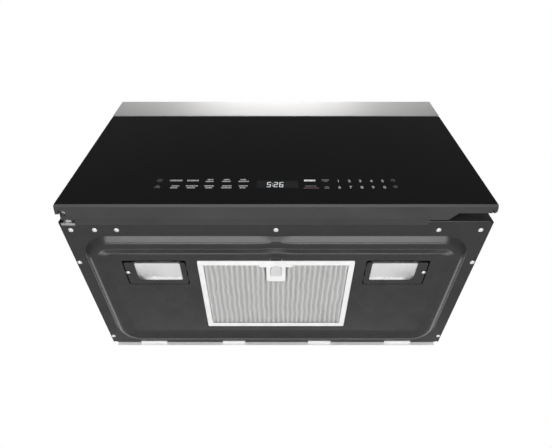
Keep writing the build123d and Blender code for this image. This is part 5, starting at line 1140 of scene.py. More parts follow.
# ---------------------------------------------------------------- grease filter
@dataclass
class GreaseFilter:
    """Grease filter: rolled rim, latch plate and layers of pleated expanded metal."""

    half_width: float = 149.0
    depth: Span = (124.0, 329.7)
    z: Span = (-7.5, 1.5)
    border: float = 11.0
    sheet: float = 1.3
    corner: float = 3.0
    edge: float = 0.6
    hem: float = 0.9
    outer_fold: tuple[Flat, ...] = ((0.0, 1.4), (0.12, 0.8), (0.41, 0.41), (0.8, 0.12), (1.4, 0.0))
    inner_fold: tuple[Flat, ...] = ((-1.0, 0.0), (-0.4, 0.12), (-0.08, 0.4), (0.0, 0.75))
    mesh_x: float = 141.0
    mesh_depth: Span = (131.5, 322.2)
    pleats: int = 28
    pleat_height: float = 3.6
    pleat_power: float = 0.8
    sway: tuple[float, ...] = (0.35, 24.0, 1.0, 3.0)
    wander: tuple[float, ...] = (1.7, 30.0, 2.0, 6.0)
    mesh_floor: float = -5.9
    strand: float = 0.3
    strand_pitch: Flat = (1.62, 2.5)
    zigzag: float = 0.92
    strand_margin: float = 0.5
    core_rise: float = 1.0
    core_grid: tuple[int, int] = (10, 40)
    notch: Flat = (19.4, 181.2)
    plate_x: float = 18.5
    plate_depth: Span = (126.5, 179.6)
    plate_corner: float = 2.5
    plate_proud: float = 0.3
    widening_x: float = 32.0
    widening_depth: Span = (127.0, 139.5)
    widening_corner: float = 2.0
    widening_proud: float = 0.02
    stem_x: float = 4.0
    stem_depth: Span = (147.8, 156.4)
    pad_x: float = 10.0
    pad_depth: Span = (137.2, 163.6)
    pad_proud: float = 0.9
    pad_gap: float = 0.7
    pad_arch: Flat = (4.5, 6.0)
    pad_radii: tuple[float, ...] = (2.0, 2.0, 5.0, 5.0, 5.0, 5.0)
    pad_edge: Flat = (0.35, 0.25)
    pad_lap: float = 0.05
    stem_lap: float = 0.1
    blade_x: float = 10.0
    blade_depth: Span = (119.8, 175.6)
    blade_z: Span = (-5.7, -3.9)
    tongue_x: Span = (80.0, 100.0)
    tongue_depth: Span = (328.9, 334.2)
    tongue_z: Span = (-4.0, -2.8)

    def build(self) -> list[Piece]:
        """Builds the rim with its plate, the strands, the sheet behind them and the latch."""
        return [*self.rim(), self.strands(), self.core(), *self.latch()]

    def loop(self, inset: float, z: float) -> list[Point]:
        """Closed line round the rim at an inset from its outer edge."""
        x = self.half_width - inset
        depth = (self.depth[0] + inset, self.depth[1] - inset)
        return [(*spot, z) for spot in rectangle((-x, x), depth, max(0.35, self.corner - inset), 5)]

    def rim(self) -> list[Piece]:
        """Rolled C section round the filter with its rear tongues, the latch plate and the front border."""
        low, high = self.z
        inner, sheet, hem = self.border, self.sheet, high - self.hem
        section = [(0.0, high - self.edge), *((inset, low + up) for inset, up in self.outer_fold)]
        section += [(inner + inset, low + up) for inset, up in self.inner_fold]
        section += [(inner, low + sheet), (sheet, low + sheet), (sheet, hem)]
        section += [(inner, hem), (inner, high), (self.edge, high)]
        form = Form()
        form.rows([self.loop(inset, z) for inset, z in [*section, section[0]]])
        for side in (-1, 1):
            form.block(span(side, *self.tongue_x), self.tongue_depth, self.tongue_z)
        dress = (Finishes.filter_sheet, Body.FILTER, "filter_aluminium")
        rim = form.finish("filter_rim_ring", *dress, "grease_filter_frame")
        outline = rectangle((-self.plate_x, self.plate_x), self.plate_depth, self.plate_corner, 5)
        window = flattened(self.pad_line(-self.pad_gap, 0.0))
        plate = Form()
        plate.plate([outline, window], lambda flat: (*flat, low - self.plate_proud))
        plate = plate.finish("filter_latch_plate", *dress, outward=(0, 0, -1), wall=sheet + 0.2, bevel=0.3)
        outline = rectangle((-self.widening_x, self.widening_x), self.widening_depth, self.widening_corner, 4)
        border = Form()
        border.plate([outline], lambda flat: (*flat, low - self.widening_proud))
        border = border.finish("filter_front_border", *dress, outward=(0, 0, -1), wall=sheet, bevel=0.25)
        return [rim, plate, border]

    def pad_line(self, inset: float, z: float) -> list[Point]:
        """Closed line round the latch pad, arched at the front, at an inset from its edge."""
        x, (across, back) = self.pad_x - inset, self.pad_arch
        front, rear = self.pad_depth[0] + inset, self.pad_depth[1] - inset
        corners = [(-x, rear), (x, rear), (x, front + back), (x - across, front), (across - x, front)]
        corners.append((-x, front + back))
        closed = rounded([corners[-1], *corners, corners[0]], self.pad_radii, 5)[1:-1]
        return [(*spot, z) for spot in closed]

    def latch(self) -> list[Piece]:
        """Sliding latch: a pad with an arched front on the plate, its stem and the blade behind."""
        face = self.z[0] - self.plate_proud
        crown, (inset, rise) = face - self.pad_proud, self.pad_edge
        levels = ((0.0, face - self.pad_lap), (0.0, crown + rise), (inset, crown))
        form = Form()
        form.solid([self.pad_line(inset, z) for inset, z in levels])
        dress = (Body.LATCH, "filter_plastic")
        pad = form.finish("filter_latch_pad", Finishes.latch_pad, *dress, "grease_filter_latch", smooth=40.0)
        slide = Form()
        slide.block((-self.blade_x, self.blade_x), self.blade_depth, self.blade_z)
        stem_z = (face - self.stem_lap, self.blade_z[0] + self.stem_lap)
        slide.block((-self.stem_x, self.stem_x), self.stem_depth, stem_z)
        return [pad, slide.finish("filter_latch_blade", Finishes.pan, *dress, bevel=0.3)]

    def stray(self, g: Growth, x: object, y: Socket, drift: Sequence[float]) -> Socket:
        """Noise about zero, by its level, waves to the metre, octaves and reach in millimetres."""
        level, scale, detail, reach = drift
        inputs = {"Vector": g.vector(x, y, level), "Scale": scale, "Detail": detail}
        noise = g.sum("SUBTRACT", g.get("ShaderNodeTexNoise", inputs), 0.5)
        return g.sum("MULTIPLY", noise, reach * MILLIMETRE)

    def pleated(self, g: Growth, shape: Socket) -> Socket:
        """Takes away what lies over the latch, and lifts the rest to the pleats.

        Args:
            g: the tree.
            shape: a level mesh.

        Returns:
            The pleated mesh.
        """
        x, y, _ = g.axes()
        near = g.sum("LESS_THAN", g.sum("ABSOLUTE", x), self.notch[0] * MILLIMETRE)
        ahead = g.sum("LESS_THAN", y, (self.notch[1] - OVERALL_DEPTH) * MILLIMETRE)
        inputs = {0: shape, 1: g.sum("MULTIPLY", near, ahead)}
        clear = g.get("GeometryNodeDeleteGeometry", inputs, domain="POINT")
        count = g.value("Pleats", self.pleats)
        height = g.value("Pleat height", self.pleat_height * MILLIMETRE)
        stray = g.sum("ADD", self.stray(g, 0.0, y, self.sway), self.stray(g, x, y, self.wander))
        across = g.sum("ADD", x, stray)
        turns = g.sum("MULTIPLY", g.sum("DIVIDE", across, 2.0 * self.mesh_x * MILLIMETRE), count)
        wave = g.sum("COSINE", g.sum("MULTIPLY", turns, 2.0 * math.pi))
        fold = g.sum("MULTIPLY", g.sum("ADD", wave, 1.0), 0.5)
        lift = g.sum("MULTIPLY", g.sum("POWER", fold, self.pleat_power), height)
        return g.get("GeometryNodeSetPosition", {"Geometry": clear, "Offset": g.vector(z=lift)})

    def strands(self) -> Piece:
        """Outer layer of expanded metal: zigzag strands laid over the pleats."""
        g = Growth("filter_strand_growth")
        thick = g.value("Strand radius", self.strand * MILLIMETRE)
        step_x, step_y = (size * MILLIMETRE for size in self.strand_pitch)
        long = 2 * self.mesh_x * MILLIMETRE
        front, rear = self.mesh_depth[0] + self.strand_margin, self.mesh_depth[1] - self.strand_margin
        wide = (rear - front) * MILLIMETRE
        columns, lines = int(long / step_x), int(wide / step_y)
        start = placed((-self.mesh_x, front, self.mesh_floor))
        odd = g.sum("MODULO", g.get("GeometryNodeInputIndex"), 2.0)
        inputs = {"Count": g.value("Columns", columns), "Offset": (long / (columns - 1), 0.0, 0.0)}
        line = g.get("GeometryNodeMeshLine", inputs)
        zigzag = g.vector(y=g.sum("MULTIPLY", g.sum("SUBTRACT", odd, 0.5), step_y * self.zigzag))
        bent = g.get("GeometryNodeSetPosition", {"Geometry": line, "Offset": zigzag})
        inputs = {"Count": g.value("Lines", lines), "Start Location": tuple(start)}
        inputs["Offset"] = (0.0, wide / (lines - 1), 0.0)
        places = g.get("GeometryNodeMeshLine", inputs)
        flip = g.vector(1.0, g.sum("SUBTRACT", 1.0, g.sum("MULTIPLY", odd, 2.0)), 1.0)
        laid = g.get("GeometryNodeInstanceOnPoints", {"Points": places, "Instance": bent, "Scale": flip})
        curve = g.get("GeometryNodeMeshToCurve", {0: self.pleated(g, g.real(laid))})
        ring = g.get("GeometryNodeCurvePrimitiveCircle", {"Resolution": 4, "Radius": thick})
        wire = g.get("GeometryNodeCurveToMesh", {"Curve": curve, "Profile Curve": ring, "Fill Caps": True})
        made = g.grow("filter_mesh_strands", wire, Finishes.filter_wire, [(0.0, OVERALL_DEPTH, 0.0)])
        return tie(made, Body.FILTER)

    def core(self) -> Piece:
        """Inner layers, as one pleated sheet under the strands."""
        g = Growth("filter_core_growth")
        front, rear = self.mesh_depth
        inputs = {"Size X": 2 * self.mesh_x * MILLIMETRE, "Size Y": (rear - front) * MILLIMETRE}
        inputs["Vertices X"] = self.pleats * self.core_grid[0] + 1
        inputs["Vertices Y"] = self.core_grid[1]
        grid = g.get("GeometryNodeMeshGrid", inputs)
        middle = placed((0.0, (front + rear) / 2, self.mesh_floor + self.core_rise))
        risen = self.pleated(g, g.moved(grid, tuple(middle)))
        made = g.grow("filter_mesh_core", risen, Finishes.filter_core, [(0.0, OVERALL_DEPTH, 0.0)])
        options = {"wall": 0.5, "outward": (0, 0, -1), "smooth": 60.0}
        return complete(made, Body.FILTER, "filter_aluminium", "grease_filter_mesh", **options)


# ---------------------------------------------------------------- cooktop lamps
@dataclass
class CooktopLamps:
    """The two hinged lamp covers with their lenses."""

    cover_x: Span = (172.2, 288.2)
    cover_depth: Span = (128.6, 188.8)
    sheet: float = 1.2
    corner: float = 4.0
    window_x: Span = (182.5, 269.0)
    window_depth: Span = (130.0, 178.0)
    lens_x: Span = (180.0, 271.5)
    lens_depth: Span = (129.2, 180.5)
    lens_corner: float = 3.4
    lens_low: float = -4.6
    lens_edge: tuple[Flat, ...] = (
        (1.2, -2.4), (0.3, -2.7), (0.0, -3.3), (0.0, -4.2), (0.4, -4.6), (3.2, -4.6)
    )
    lens_pillow: tuple[Flat, ...] = ((4.2, -4.7), (6.0, -4.92), (9.0, -5.1))
    tab_depths: tuple[float, ...] = (140.0, 168.0)
    tab_length: float = 12.0
    tab_x: Span = (168.2, 175.2)
    tab_z: Span = (-4.7, -3.9)

    def build(self) -> list[Piece]:
        """Builds both covers with their tabs, and both lenses."""
        return [piece for side in LAMP_SIDES for piece in (*self.cover(*side), self.lens(*side))]

    def cover(self, side: int, word: str, body: Body) -> list[Piece]:
        """One cover: a sheet with a window, and the tabs that it turns on."""
        form = Form()
        outline = rectangle(span(side, *self.cover_x), self.cover_depth, self.corner)
        window = rectangle(span(side, *self.window_x), self.window_depth, self.corner)
        form.plate([outline, window], lambda flat: (*flat, PANEL))
        dress = (Finishes.pan, body, "charcoal_enamel")
        options = {"outward": (0, 0, -1), "wall": self.sheet, "bevel": 0.4, "segments": 3}
        made = form.finish(f"lamp_cover_sheet_{word}", *dress, f"lamp_cover_{word}", **options)
        tabs = Form()
        for depth in self.tab_depths:
            tabs.block(span(side, *self.tab_x), (depth, depth + self.tab_length), self.tab_z)
        return [made, tabs.finish(f"lamp_cover_tabs_{word}", *dress, bevel=0.15)]

    def lens(self, side: int, word: str, body: Body) -> Piece:
        """One lens: a moulded plate with a rounded edge and a raised pillow inside the window."""
        x, depth = span(side, *self.lens_x), self.lens_depth
        rows = []
        for inset, z in self.lens_edge + self.lens_pillow:
            corner = self.lens_corner - min(inset, 0.4) + (inset / 3 if z < self.lens_low else 0.0)
            flat = rectangle((x[0] + inset, x[1] - inset), (depth[0] + inset, depth[1] - inset), corner, 6)
            rows.append([(*spot, z) for spot in flat])
        form = Form()
        form.solid(rows)
        name, node = f"lamp_lens_plate_{word}", f"lamp_lens_{word}"
        return form.finish(name, Finishes.lens, body, "lamp_glass", node, smooth=50.0)


# ---------------------------------------------------------------- door
@dataclass
class DoorGlass:
    """Polished pane over the whole door, printed black on its back."""

    z: Span = (8.8, 339.7)
    front: float = 0.1
    thickness: float = 4.0
    corner: float = 2.2
    front_edge: tuple[Flat, ...] = ((0.75, 0.0), (0.5, 0.06), (0.2, 0.26), (0.03, 0.6))
    back_edge: tuple[Flat, ...] = ((0.03, 0.6), (0.2, 0.2), (0.6, 0.0))

    def loop(self, inset: float, depth: float) -> list[Point]:
        """Closed line round the pane at a depth."""
        x = HALF_WIDTH - inset
        flat = rectangle((-x, x), (self.z[0] + inset, self.z[1] - inset), self.corner, 6)
        return [(across, depth, up) for across, up in flat]

    def build(self) -> list[Piece]:
        """Builds the pane with ground and polished edges."""
        steps = [(inset, self.front + step) for inset, step in self.front_edge]
        steps += [(inset, self.thickness - step) for inset, step in self.back_edge]
        form = Form()
        form.solid([self.loop(inset, depth) for inset, depth in steps], axis=1)
        dress = (Finishes.glass, Body.DOOR, "black_glass", "door_glass")
        return [form.finish("door_glass_pane", *dress, smooth=50.0)]


class Mark(Enum):
    """Kinds of print on the controls, with their finish."""

    DIM = Finishes.legend_dim
    PLAIN = Finishes.legend
    BOLD = Finishes.legend_bold
    RED = Finishes.legend_red
    CLOCK = Finishes.segments


@dataclass
class Controls:
    """Print and clock of the touch controls: bars stand for words, and the numbers are plain."""

    depth: Span = (0.02, 0.085)
    rows: Flat = (79.2, 59.4)
    line: float = 4.6
    small_line: float = 3.6
    line_gap: float = 5.6
    tick: float = 1.15
    tick_gap: float = 0.7
    stroke: float = 0.8
    tick_shares: tuple[float, ...] = (0.8, 1.5, 1.0, 1.9, 1.2)
    key_x: tuple[float, ...] = (114.2, 134.3, 154.4, 174.6, 195.2)
    key_height: float = 10.2
    key_weight: float = 0.16
    key_drop: float = 1.2
    key_foot: float = 0.36
    digit_size: Flat = (7.2, 15.4)
    digit_stroke: float = 1.75
    digit_gap: float = 0.3
    digit_lean: float = 0.07
    digit_foot: float = 58.6
    digits: tuple[tuple[float, str], ...] = ((-16.9, "afgcd"), (-4.5, "abged"), (5.4, "afgedc"))
    colon_x: Span = (-7.4, -5.8)
    colon_half: float = 0.9
    colon_shares: Flat = (0.28, 0.66)
    lamp_sign: Point = (-213.5, 0.4, 3.4)
    rays: Point = (5.4, 4.8, 0.55)
    fan_sign: tuple[float, ...] = (-213.2, 3.0, 2.8, 2.5)
    small_words: tuple[tuple[Span, int, float, float, int], ...] = (
        ((84.0, 97.8), 0, 1.8, 3.6, 1),
        ((87.2, 95.4), 0, -2.6, 2.52, 2),
        ((88.0, 95.0), 1, -0.4, 2.88, 3),
        ((86.8, 95.8), 1, -4.4, 2.52, 4),
        ((53.1, 73.3), 1, 2.4, 2.6, 4),
    )
    dials: tuple[tuple[float, int, float, float], ...] = ((214.8, 0, 0.8, 70.0), (215.3, 1, 0.2, 0.0))
    dial_radius: float = 3.6
    hands: tuple[tuple[Span, int, Span], ...] = (
        ((214.3, 215.3), 0, (1.2, 5.0)),
        ((214.9, 215.7), 1, (0.2, 2.8)),
    )
    start_word: Span = (51.6, 72.1)
    start_height: float = 5.0
    stop_line: tuple[Span, Span] = ((49.3, 77.0), (-4.6, -2.8))
    display_x: Span = (-35.0, 40.0)
    display_z: Span = (56.2, 78.8)
    words: tuple[tuple[int, tuple[Span, ...]], ...] = (
        (0, ((-194.4, -171.4),)),
        (0, ((-162.8, -141.9),)),
        (0, ((-125.6, -114.9), (-128.7, -113.3))),
        (0, ((-95.8, -84.3), (-98.8, -82.0))),
        (0, ((-65.2, -53.6), (-68.3, -49.9))),
        (1, ((-188.3, -174.8), (-189.8, -177.0))),
        (1, ((-162.4, -140.7), (-159.8, -145.5))),
        (1, ((-129.1, -111.9), (-126.8, -113.3))),
        (1, ((-96.8, -80.4), (-98.4, -80.4))),
        (1, ((-66.9, -51.1), (-65.1, -54.0))),
    )

    def bar(self, form: Form, x: Span, z: Span, lean: float = 0.0) -> None:
        """Adds one thin plate of print, leaning to the right by a share of its height."""
        leant = [(across + (up - self.digit_foot) * lean, up) for across, up in rectangle(x, z)]
        form.prism([[(across, depth, up) for across, up in leant] for depth in self.depth])

    def word(self, form: Form, x: Span, z: float, height: float, seed: int) -> None:
        """Adds one line of bars that stands for a word.

        Args:
            form: the print that it goes on.
            x: its left and right end.
            z: its middle height.
            height: height of the bars.
            seed: picks the lengths of the bars.
        """
        spot, count = x[0], 0
        while spot < x[1] - self.stroke:
            width = self.tick * self.tick_shares[(seed * 3 + count * 2) % len(self.tick_shares)]
            width = min(width, x[1] - spot)
            self.bar(form, (spot, spot + width), (z - height / 2, z + height / 2))
            spot += width + self.tick_gap
            count += 1

    def ring(self, form: Form, x: float, z: float, radius: float, gap: float = 0.0, sides: int = 20) -> None:
        """Adds a round outline, open at the top by an angle.

        Args:
            form: the print that it goes on.
            x: its middle.
            z: its middle height.
            radius: its outer radius.
            gap: opening at the top, in degrees.
            sides: faces round it.
        """
        start, turn = math.radians(90.0 + gap / 2), math.radians(360.0 - gap)
        outer, inner = (arc((x, z), reach, start, turn, sides) for reach in (radius, radius - self.stroke))
        near, far = self.depth
        rows = []
        for (x0, z0), (x1, z1) in zip(outer, inner):
            rows.append([(x0, near, z0), (x1, near, z1), (x1, far, z1), (x0, far, z0)])
        (form.prism if gap else form.rows)(rows)

    def piece(self, form: Form, name: str, mark: Mark) -> Piece:
        """Finishes one print."""
        return form.finish(name, mark.value, Body.DOOR, "white_plastic")

    def print_words(self) -> Piece:
        """Bars of the function keys, in one or two lines each."""
        form = Form()
        for index, (row, lines) in enumerate(self.words):
            if len(lines) == 1:
                self.word(form, lines[0], self.rows[row], self.line, index)
                continue
            for place, line in enumerate(lines):
                z = self.rows[row] + self.line_gap * (0.5 - place)
                self.word(form, line, z, self.small_line, index + 2 * place)
        return self.piece(form, "control_word_bars", Mark.PLAIN)

    def number(self, digit: str, x: float, z: float) -> Piece:
        """One plain number of the key pad as thin raised print, by its middle."""
        name = f"key_number_{digit}"
        curve = bpy.data.curves.new(name, "FONT")
        curve.body = digit
        curve.size = self.key_height
        curve.offset = self.key_weight
        curve.extrude = (self.depth[1] - self.depth[0]) / 2
        curve.resolution_u = 3
        curve.align_x = "CENTER"
        plain = bake(linked(f"{name}_type", curve))
        plain.name = name
        middle = (self.depth[0] + self.depth[1]) / 2
        foot = z - self.key_height * self.key_foot
        for vertex in plain.data.vertices:
            across, up, out = vertex.co
            vertex.co = placed((x + across, middle - out, foot + up))
        plain.data.materials.clear()
        plain.data.materials.append(Mark.PLAIN.value.material())
        return tie(plain, Body.DOOR)

    def print_signs(self) -> list[Piece]:
        """Pictures of the lamp, fan, timer and lock keys, and the start and stop bars."""
        dim, bold, red = Form(), Form(), Form()
        upper, lower = self.rows
        (middle, shift, radius), (across, up, half) = self.lamp_sign, self.rays
        self.ring(dim, middle, upper + shift, radius)
        for angle in map(math.radians, range(0, 360, 60)):
            x, z = middle + across * math.cos(angle), upper + shift + up * math.sin(angle)
            self.bar(dim, (x - half, x + half), (z - half, z + half))
        middle, across, up, radius = self.fan_sign
        for angle in map(math.radians, range(90, 450, 120)):
            x, z = middle + across * math.cos(angle), lower + up * math.sin(angle)
            self.ring(dim, x, z, radius, 0.0, 12)
        for x, row, shift, height, seed in self.small_words:
            self.word(dim, x, self.rows[row] + shift, height, seed)
        for x, row, shift, gap in self.dials:
            self.ring(dim, x, self.rows[row] + shift, self.dial_radius, gap)
        for x, row, (foot, top) in self.hands:
            self.bar(dim, x, (self.rows[row] + foot, self.rows[row] + top))
        self.word(bold, self.start_word, upper, self.start_height, 2)
        x, (foot, top) = self.stop_line
        self.bar(red, x, (lower + foot, lower + top))
        prints = ((dim, "control_pictures", Mark.DIM), (bold, "start_key_bars", Mark.BOLD))
        return [self.piece(*printed) for printed in (*prints, (red, "stop_key_line", Mark.RED))]

    def clock(self) -> list[Piece]:
        """The display's smoked field and its lit numbers, seven segments each."""
        field = Form()
        outline = rectangle(self.display_x, self.display_z, 1.5, 4)
        field.plate([outline], lambda flat: (flat[0], self.depth[1], flat[1]))
        pane = field.finish("clock_field", Finishes.display, Body.DOOR, "black_plastic")
        numbers = Form()
        wide, tall = self.digit_size
        stroke, gap, foot = self.digit_stroke, self.digit_gap, self.digit_foot
        levels = {"a": foot + tall - stroke, "g": foot + (tall - stroke) / 2, "d": foot}
        for left, segments in self.digits:
            for key in segments:
                if key in levels:
                    x, z = (left, left + wide), (levels[key], levels[key] + stroke)
                else:
                    low, high = ("g", "a") if key in "bf" else ("d", "g")
                    start = left if key in "ef" else left + wide - stroke
                    x, z = (start, start + stroke), (levels[low] + stroke + gap, levels[high] - gap)
                self.bar(numbers, x, z, self.digit_lean)
        for share in self.colon_shares:
            z, half = foot + tall * share, self.colon_half
            self.bar(numbers, self.colon_x, (z - half, z + half), self.digit_lean)
        return [pane, self.piece(numbers, "clock_numbers", Mark.CLOCK)]

    def build(self) -> list[Piece]:
        """Builds all print and the clock."""
        made = [self.print_words()]
        for z, row in zip(self.rows, ("12345", "67890")):
            made += [self.number(digit, x, z - self.key_drop) for x, digit in zip(self.key_x, row)]
        return [*made, *self.print_signs(), *self.clock()]


@dataclass
class DoorScreen:
    """Perforated screen behind the inner window."""

    x: Span = (-337.0, 171.0)
    z: Span = (64.0, 288.0)
    depth: float = 25.25
    pitch: float = 5.0
    hole: float = 1.8
    sheet: float = 0.2
    merge: float = 0.02

    def build(self) -> list[Piece]:
        """Grows cells with a hole each, in staggered rows, and backs them with their thickness."""
        g = Growth("door_screen_growth")
        pitch = g.value("Pitch", self.pitch * MILLIMETRE)
        hole = g.value("Hole radius", self.hole * MILLIMETRE)
        outer = g.sum("DIVIDE", pitch, math.sqrt(3.0))
        ring = g.get("GeometryNodeMeshCircle", {"Vertices": 6, "Radius": outer}, fill_type="NGON")
        inputs = {"Mesh": ring, "Offset Scale": 0.0, "Individual": True}
        inset = g.add("GeometryNodeExtrudeMesh", inputs, mode="FACES").outputs
        inputs = {0: g.get("GeometryNodeInputPosition"), "Scale": g.sum("DIVIDE", hole, outer)}
        inward = g.get("ShaderNodeVectorMath", inputs, operation="SCALE")
        inputs = {"Geometry": inset[0], "Selection": inset["Top"], "Position": inward}
        shrunk = g.get("GeometryNodeSetPosition", inputs)
        opened = g.get("GeometryNodeDeleteGeometry", {0: shrunk, 1: inset["Top"]}, domain="FACE")
        turn = (math.radians(90.0), math.radians(30.0), 0.0)
        upright = g.get("GeometryNodeTransform", {"Geometry": opened, "Rotation": turn})
        inputs = {"Points": g.entry.outputs[0], "Instance": upright}
        real = g.real(g.get("GeometryNodeInstanceOnPoints", inputs))
        merged = g.get("GeometryNodeMergeByDistance", {"Geometry": real, "Distance": self.merge * MILLIMETRE})
        rise = self.pitch * math.sqrt(3.0) / 2
        points = []
        for line in range(int((self.z[1] - self.z[0]) / rise)):
            start = self.x[0] + self.pitch / 2 * (line % 2)
            for column in range(int((self.x[1] - self.x[0]) / self.pitch)):
                points.append((start + column * self.pitch, self.depth, self.z[0] + line * rise))
        grown = g.grow("door_screen_sheet", merged, Finishes.screen, points)
        return [complete(grown, Body.DOOR, "case_paint", wall=self.sheet, outward=(0, 1, 0), smooth=30.0)]


# ---------------------------------------------------------------- oven
@dataclass
class GlassTray:
    """Turned glass tray with its rim and the three lugs under it."""

    centre: Flat = (-83.0, 204.2)
    underside: float = 72.6
    section: tuple[Flat, ...] = (
        (122.5, 0.0), (148.5, 0.0), (162.5, 10.0), (162.5, 14.0), (158.5, 14.0), (146.5, 5.0), (118.5, 5.0)
    )
    radii: tuple[float, ...] = (10.0, 3.0, 1.6, 1.6, 8.0)
    lug_ring: float = 18.0
    lug_half: float = 5.0
    lug_drop: Span = (-0.5, 3.8)
    lug_turns: tuple[float, ...] = (60.0, 180.0, 300.0)

    def build(self) -> list[Piece]:
        """Builds the tray and its lugs."""
        wall = self.section[-1][1]
        outline = [(0.0, 0.0), *rounded(self.section, self.radii, 6), (0.0, wall)]
        form = Form()
        form.lathe([(reach, self.underside + z) for reach, z in outline], self.centre, 96)
        dress = (Finishes.clear, Body.TURNTABLE, "clear_glass")
        tray = form.finish("glass_tray_turned", *dress, "glass_tray", smooth=40.0)
        lugs, half = Form(), self.lug_half
        for turn in self.lug_turns:
            x, depth = arc(self.centre, self.lug_ring, math.radians(turn), 0.0, 1)[0]
            flat = rectangle((x - half, x + half), (depth - half, depth + half), half / 2, 4)
            lugs.solid([[(*spot, self.underside - drop) for spot in flat] for drop in self.lug_drop])
        return [tray, lugs.finish("glass_tray_lugs", *dress, bevel=0.8)]


# ---------------------------------------------------------------- carried over nodes
DRESSINGS: tuple[tuple[Finish, str], ...] = (
    (Finishes.case, "outer_case"),
    (Finishes.strip, "top_grille"),
    (Finishes.galvanised, "rear_panel chassis_base_plate lower_hinge_bracket upper_hinge_bracket"),
    (Finishes.galvanised, "waveguide vent_blower_housing cooling_fan_housing turntable_motor"),
    (Finishes.wall_plate, "wall_mounting_plate"),
    (Finishes.enamel, "cavity_liner"),
    (Finishes.mica, "waveguide_cover"),
    (Finishes.bulb, "cavity_lamp"),
    (Finishes.can, "magnetron high_voltage_capacitor vent_blower_motor thermal_cutouts cooling_fan_motor"),
    (Finishes.core, "high_voltage_transformer"),
    (Finishes.moulding, "choke_cover display_module door_latch_lever latch_board interlock_switches"),
    (Finishes.moulding, "high_voltage_diode cooling_fan_blade"),
    (Finishes.moulding, "vent_blower_wheel_left vent_blower_wheel_right"),
    (Finishes.door_trim, "door_frame"),
    (Finishes.dark_panel, "door_inner_panel front_frame lamp_modules"),
    (Finishes.window, "door_window"),
    (Finishes.board, "control_board noise_filter_board touch_board"),
    (Finishes.charcoal, "charcoal_filter"),
    (Finishes.plate, "vent_blower_shaft latch_spring"),
    (Finishes.pin, "hinge_pins"),
    (Finishes.white, "drive_coupler roller_ring roller_wheel_1 roller_wheel_2 roller_wheel_3"),
    (Finishes.rubber, "power_inlet_bushing"),
)


def dress_nodes() -> None:
    """Puts a finish on each node that shows as it is."""
    for finish, names in DRESSINGS:
        for name in names.split():
            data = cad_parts[name].data
            data.materials.clear()
            data.materials.append(finish.material())
        LOG.info("%s: %s", finish.name, names)


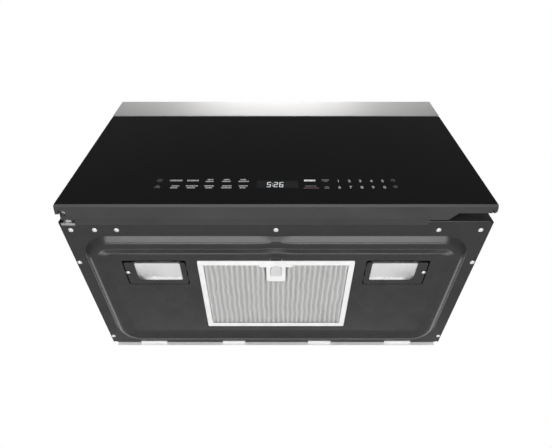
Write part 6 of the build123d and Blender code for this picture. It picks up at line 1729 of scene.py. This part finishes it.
# ---------------------------------------------------------------- studio
@dataclass
class Studio:
    """Pale floor, soft lamps, white background and the camera, in metres."""

    floor_height: float = -2.0
    floor_half: float = 9.0
    ambient: float = 0.32
    mirrored: float = 0.1
    camera_place: Point = (0.0, -0.8286, -0.5305)
    camera_pitch: float = 139.09
    camera_lens: float = 26.2
    lamps: tuple[tuple[str, Point, Point, Flat, float], ...] = (
        ("over", (0.0, -0.9, 2.5), (0.0, -0.4, 0.35), (1.3, 0.45), 9.0),
        ("over_wide", (0.0, -0.8, 2.6), (0.0, -0.4, 0.35), (3.2, 0.45), 17.0),
        ("below", (0.0, -1.9, -1.6), (0.0, -0.25, 0.0), (3.2, 0.6), 30.0),
        ("under", (0.0, -1.19, -1.95), (0.0, -0.34, 0.0), (2.6, 0.22), 13.5),
        ("left", (-2.6, -0.9, 0.55), (0.0, -0.2, 0.15), (1.2, 1.3), 18.0),
        ("right", (2.6, -0.9, 0.55), (0.0, -0.2, 0.15), (1.2, 1.3), 18.0),
        ("left_rear", (-2.3, 2.2, -0.35), (0.0, 0.0, 0.0), (1.7, 1.4), 9.5),
        ("right_rear", (2.3, 2.2, -0.35), (0.0, 0.0, 0.0), (1.7, 1.4), 9.5),
        ("rear_low", (0.0, 2.5, -1.15), (0.0, -0.2, 0.0), (3.0, 0.3), 9.0),
        ("rear", (0.0, 3.0, 1.6), (0.0, 0.0, 0.2), (2.4, 1.6), 22.0),
    )

    def build(self) -> None:
        """Builds the whole studio."""
        self.floor()
        self.world()
        for lamp in self.lamps:
            self.lamp(*lamp)
        self.camera()
        bpy.context.scene.view_settings.view_transform = "Standard"

    def floor(self) -> None:
        """Lays the floor under everything, below the camera."""
        half = self.floor_half
        mesh = bpy.data.meshes.new("studio_floor")
        corners = [(*spot, self.floor_height) for spot in rectangle((-half, half), (-half, half))]
        mesh.from_pydata(corners, [], [(0, 1, 2, 3)])
        mesh.materials.append(Finishes.floor.material())
        linked("studio_floor", mesh)

    def world(self) -> None:
        """White behind the object, dimmer where it lights or is mirrored."""
        world = bpy.data.worlds.new("studio_world")
        world.use_nodes = True
        nodes = Nodes(world.node_tree)
        back = nodes.tree.nodes["Background"].inputs
        path = nodes.add("ShaderNodeLightPath").outputs
        seen = nodes.sum("MAXIMUM", path["Is Camera Ray"], path["Is Transmission Ray"])
        inputs = {"Value": path["Is Glossy Ray"], "To Min": self.ambient, "To Max": self.mirrored}
        level = nodes.add("ShaderNodeMapRange", inputs).outputs["Result"]
        nodes.put(back["Strength"], nodes.sum("MAXIMUM", seen, level))
        nodes.put(back["Color"], (1.0, 1.0, 1.0, 1.0))
        bpy.context.scene.world = world

    def lamp(self, name: str, spot: Point, aim: Point, size: Flat, power: float) -> None:
        """Hangs one soft lamp.

        Args:
            name: the lamp's name.
            spot: its place in the row frame.
            aim: what it points at.
            size: width and height of its face.
            power: in watts.
        """
        light = bpy.data.lights.new(f"studio_lamp_{name}", "AREA")
        light.shape = "RECTANGLE"
        light.size, light.size_y = size
        light.energy = power
        holder = linked(light.name, light)
        holder.location = spot
        holder.rotation_euler = (Vector(aim) - Vector(spot)).to_track_quat("-Z", "Y").to_euler()
        holder.visible_camera = False

    def camera(self) -> None:
        """Sets the camera at the photograph's place."""
        eye = bpy.data.cameras.new("studio_camera")
        eye.sensor_fit = "HORIZONTAL"
        eye.sensor_width = 36.0
        eye.lens = self.camera_lens
        eye.clip_start = 0.02
        holder = linked("studio_camera", eye)
        holder.location = self.camera_place
        holder.rotation_euler = (math.radians(self.camera_pitch), 0.0, 0.0)
        bpy.context.scene.camera = holder


def main() -> None:
    """Builds every sub-assembly in order and reports it."""
    logging.basicConfig(level=logging.INFO, format="%(name)s: %(message)s")
    door = (DoorGlass(), Controls(), DoorScreen())
    for assembly in (BasePan(), Fasteners(), GreaseFilter(), CooktopLamps(), *door, GlassTray()):
        for piece in assembly.build():
            LOG.info("%s: %s, %d faces", type(assembly).__name__, piece.name, len(piece.data.polygons))
    dress_nodes()
    Studio().build()


if __name__ == "__main__":
    main()
